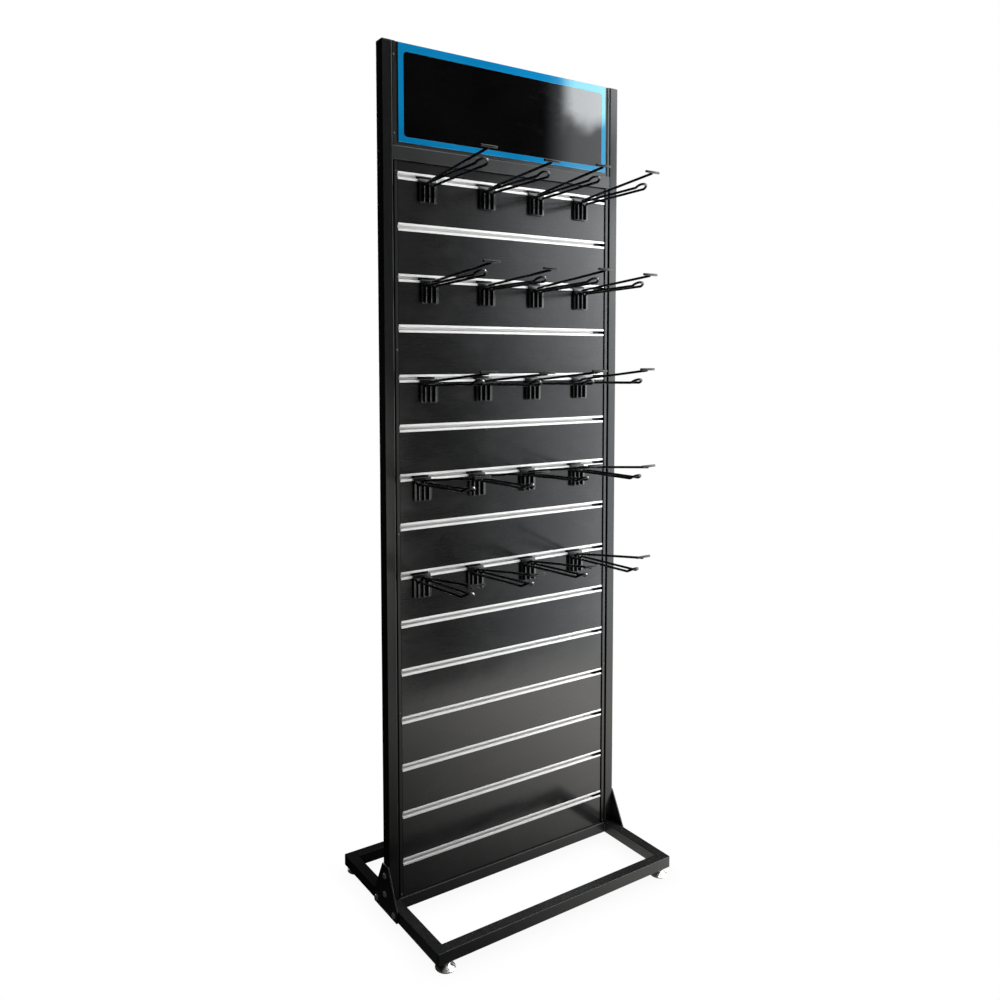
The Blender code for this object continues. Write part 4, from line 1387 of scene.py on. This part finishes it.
# ============================================================================ lights
def softbox(name, at, aim, width, height, radiance, colour=(1.0, 1.0, 1.0)):
    """A rectangular light given by the brightness of its face."""
    light = bpy.data.lights.new(name, "AREA")
    light.shape = "RECTANGLE"
    light.size = width
    light.size_y = height
    light.energy = radiance * math.pi * width * height
    light.color = colour
    made = add_object(name, light)
    made.location = Vector(at) + Vector((0.0, SETBACK, 0.0))
    made.rotation_mode = "QUATERNION"
    made.rotation_quaternion = (Vector(aim) - Vector(at)).to_track_quat("-Z", "Y")
    made.visible_camera = False
    return made


def window_material():
    """Dim room, bright sky above a soft uneven skyline, brighter towards the right."""
    mat = new_material("window_card")
    x, _, z = mat.axes()
    # The skyline wavers, and dips and climbs along x.
    uneven = mat.noise(scale=3.0, detail=4.0)
    line = mat.plus(z, mat.span(uneven, over=(0.3, 0.7), to=(-0.05, 0.05)))
    line = mat.plus(line, mat.span(x, over=(1.0, 1.4), to=(0.02, -0.05)))
    line = mat.plus(line, mat.span(x, over=(1.02, 1.13), to=(-0.035, 0.0)))
    # The card's upper part, seen in the sign, and its lower part fade into each other.
    changeover = (1.72, 1.86)
    upper = mat.span(z, over=changeover)
    sky = mat.times(mat.span(line, over=(1.985, 2.06)), mat.span(x, over=(0.975, 1.05)))
    sky = mat.times(mat.times(sky, upper), mat.span(x, over=(1.0, 1.5), to=(3.0, 4.0)))
    room = mat.times(
        mat.span(x, over=(0.90, 1.07)), mat.span(x, over=(0.9, 1.5), to=(0.55, 0.9))
    )
    room = mat.times(room, upper)
    wall = mat.times(
        mat.span(x, over=(0.42, 1.42), to=(0.05, 4.4)),
        mat.span(z, over=(0.9, 1.7), to=(0.58, 1.0)),
    )
    wall = mat.times(wall, mat.span(z, over=changeover, to=(1.0, 0.0)))
    right_part = mat.times(
        mat.span(x, over=(1.19, 1.27), to=(0.0, 1.3)),
        mat.span(z, over=changeover, to=(1.0, 0.0)),
    )
    strength = mat.plus(mat.plus(sky, room), mat.plus(wall, right_part))
    return mat.finish(mat.add("Emission", {"Color": (0.93, 0.97, 1.0), "Strength": strength}))


def window_card():
    """A glowing card in front, to the right, that shows only in glossy reflections."""
    left, right, top = 0.25, 3.6, 3.2
    y = -1.05 + SETBACK
    corners = [(left, y, 0.0), (right, y, 0.0), (right, y, top), (left, y, top)]
    card = flat_card("window_card", corners, window_material())
    card.visible_camera = False
    card.visible_diffuse = False
    card.visible_shadow = False
    card.visible_transmission = False


softbox(
    "overhead", at=(0.95, -0.85, 3.0), aim=(0.35, -0.1, 0.9), width=1.5, height=1.7,
    radiance=4.2,
)
softbox(
    "right_side", at=(1.30, -0.52, 1.25), aim=(-0.2, -0.45, 1.1), width=0.9, height=2.3,
    radiance=3.4, colour=(0.97, 0.99, 1.0),
)
window_card()
softbox(
    "back_fill", at=(-0.2, 2.6, 0.75), aim=(0.0, 0.0, 0.9), width=1.0, height=1.2,
    radiance=0.7,
)
back_light = softbox(
    "back_light", at=(0.55, 2.3, 1.5), aim=(0.0, 0.0, 0.85), width=1.5, height=2.2,
    radiance=7.0,
)
# The back light leaves out the base and the feet.
upright = bpy.data.collections.new("upright_pieces")
for made in scene.objects:
    if made.type == "MESH" and not made.name.startswith(("base_", "foot_", "studio", "window")):
        upright.objects.link(made)
back_light.light_linking.receiver_collection = upright

# ============================================================================ camera
EYE = Vector((-1.1161, -1.5430 + SETBACK, 1.1394))
YAW, PITCH, ROLL = 0.5656016, -0.0659486, -0.0041280     # radians; yaw turns from +Y to +X


def add_camera():
    ahead = heading(PITCH, math.pi - YAW)
    ahead = Vector((
        math.sin(YAW) * math.cos(PITCH), math.cos(YAW) * math.cos(PITCH), math.sin(PITCH)
    ))
    level = Vector((math.cos(YAW), -math.sin(YAW), 0.0))
    above = level.cross(ahead)
    right = level * math.cos(ROLL) + above * math.sin(ROLL)
    up = -level * math.sin(ROLL) + above * math.cos(ROLL)
    turn = Matrix((right, up, -ahead)).transposed()
    data = bpy.data.cameras.new("camera")
    data.sensor_fit = "VERTICAL"
    data.sensor_height = 36.0
    data.sensor_width = 31.0
    data.lens = 31.524
    data.shift_x = 0.04644
    data.shift_y = -0.07722
    data.clip_start = 0.05
    data.clip_end = 60.0
    camera = add_object("camera", data)
    camera.matrix_world = Matrix.Translation(EYE) @ turn.to_4x4()
    scene.camera = camera


add_camera()
scene.view_settings.view_transform = "Standard"
scene.view_settings.look = "None"
scene.view_settings.exposure = 0.0
scene.view_settings.gamma = 1.0
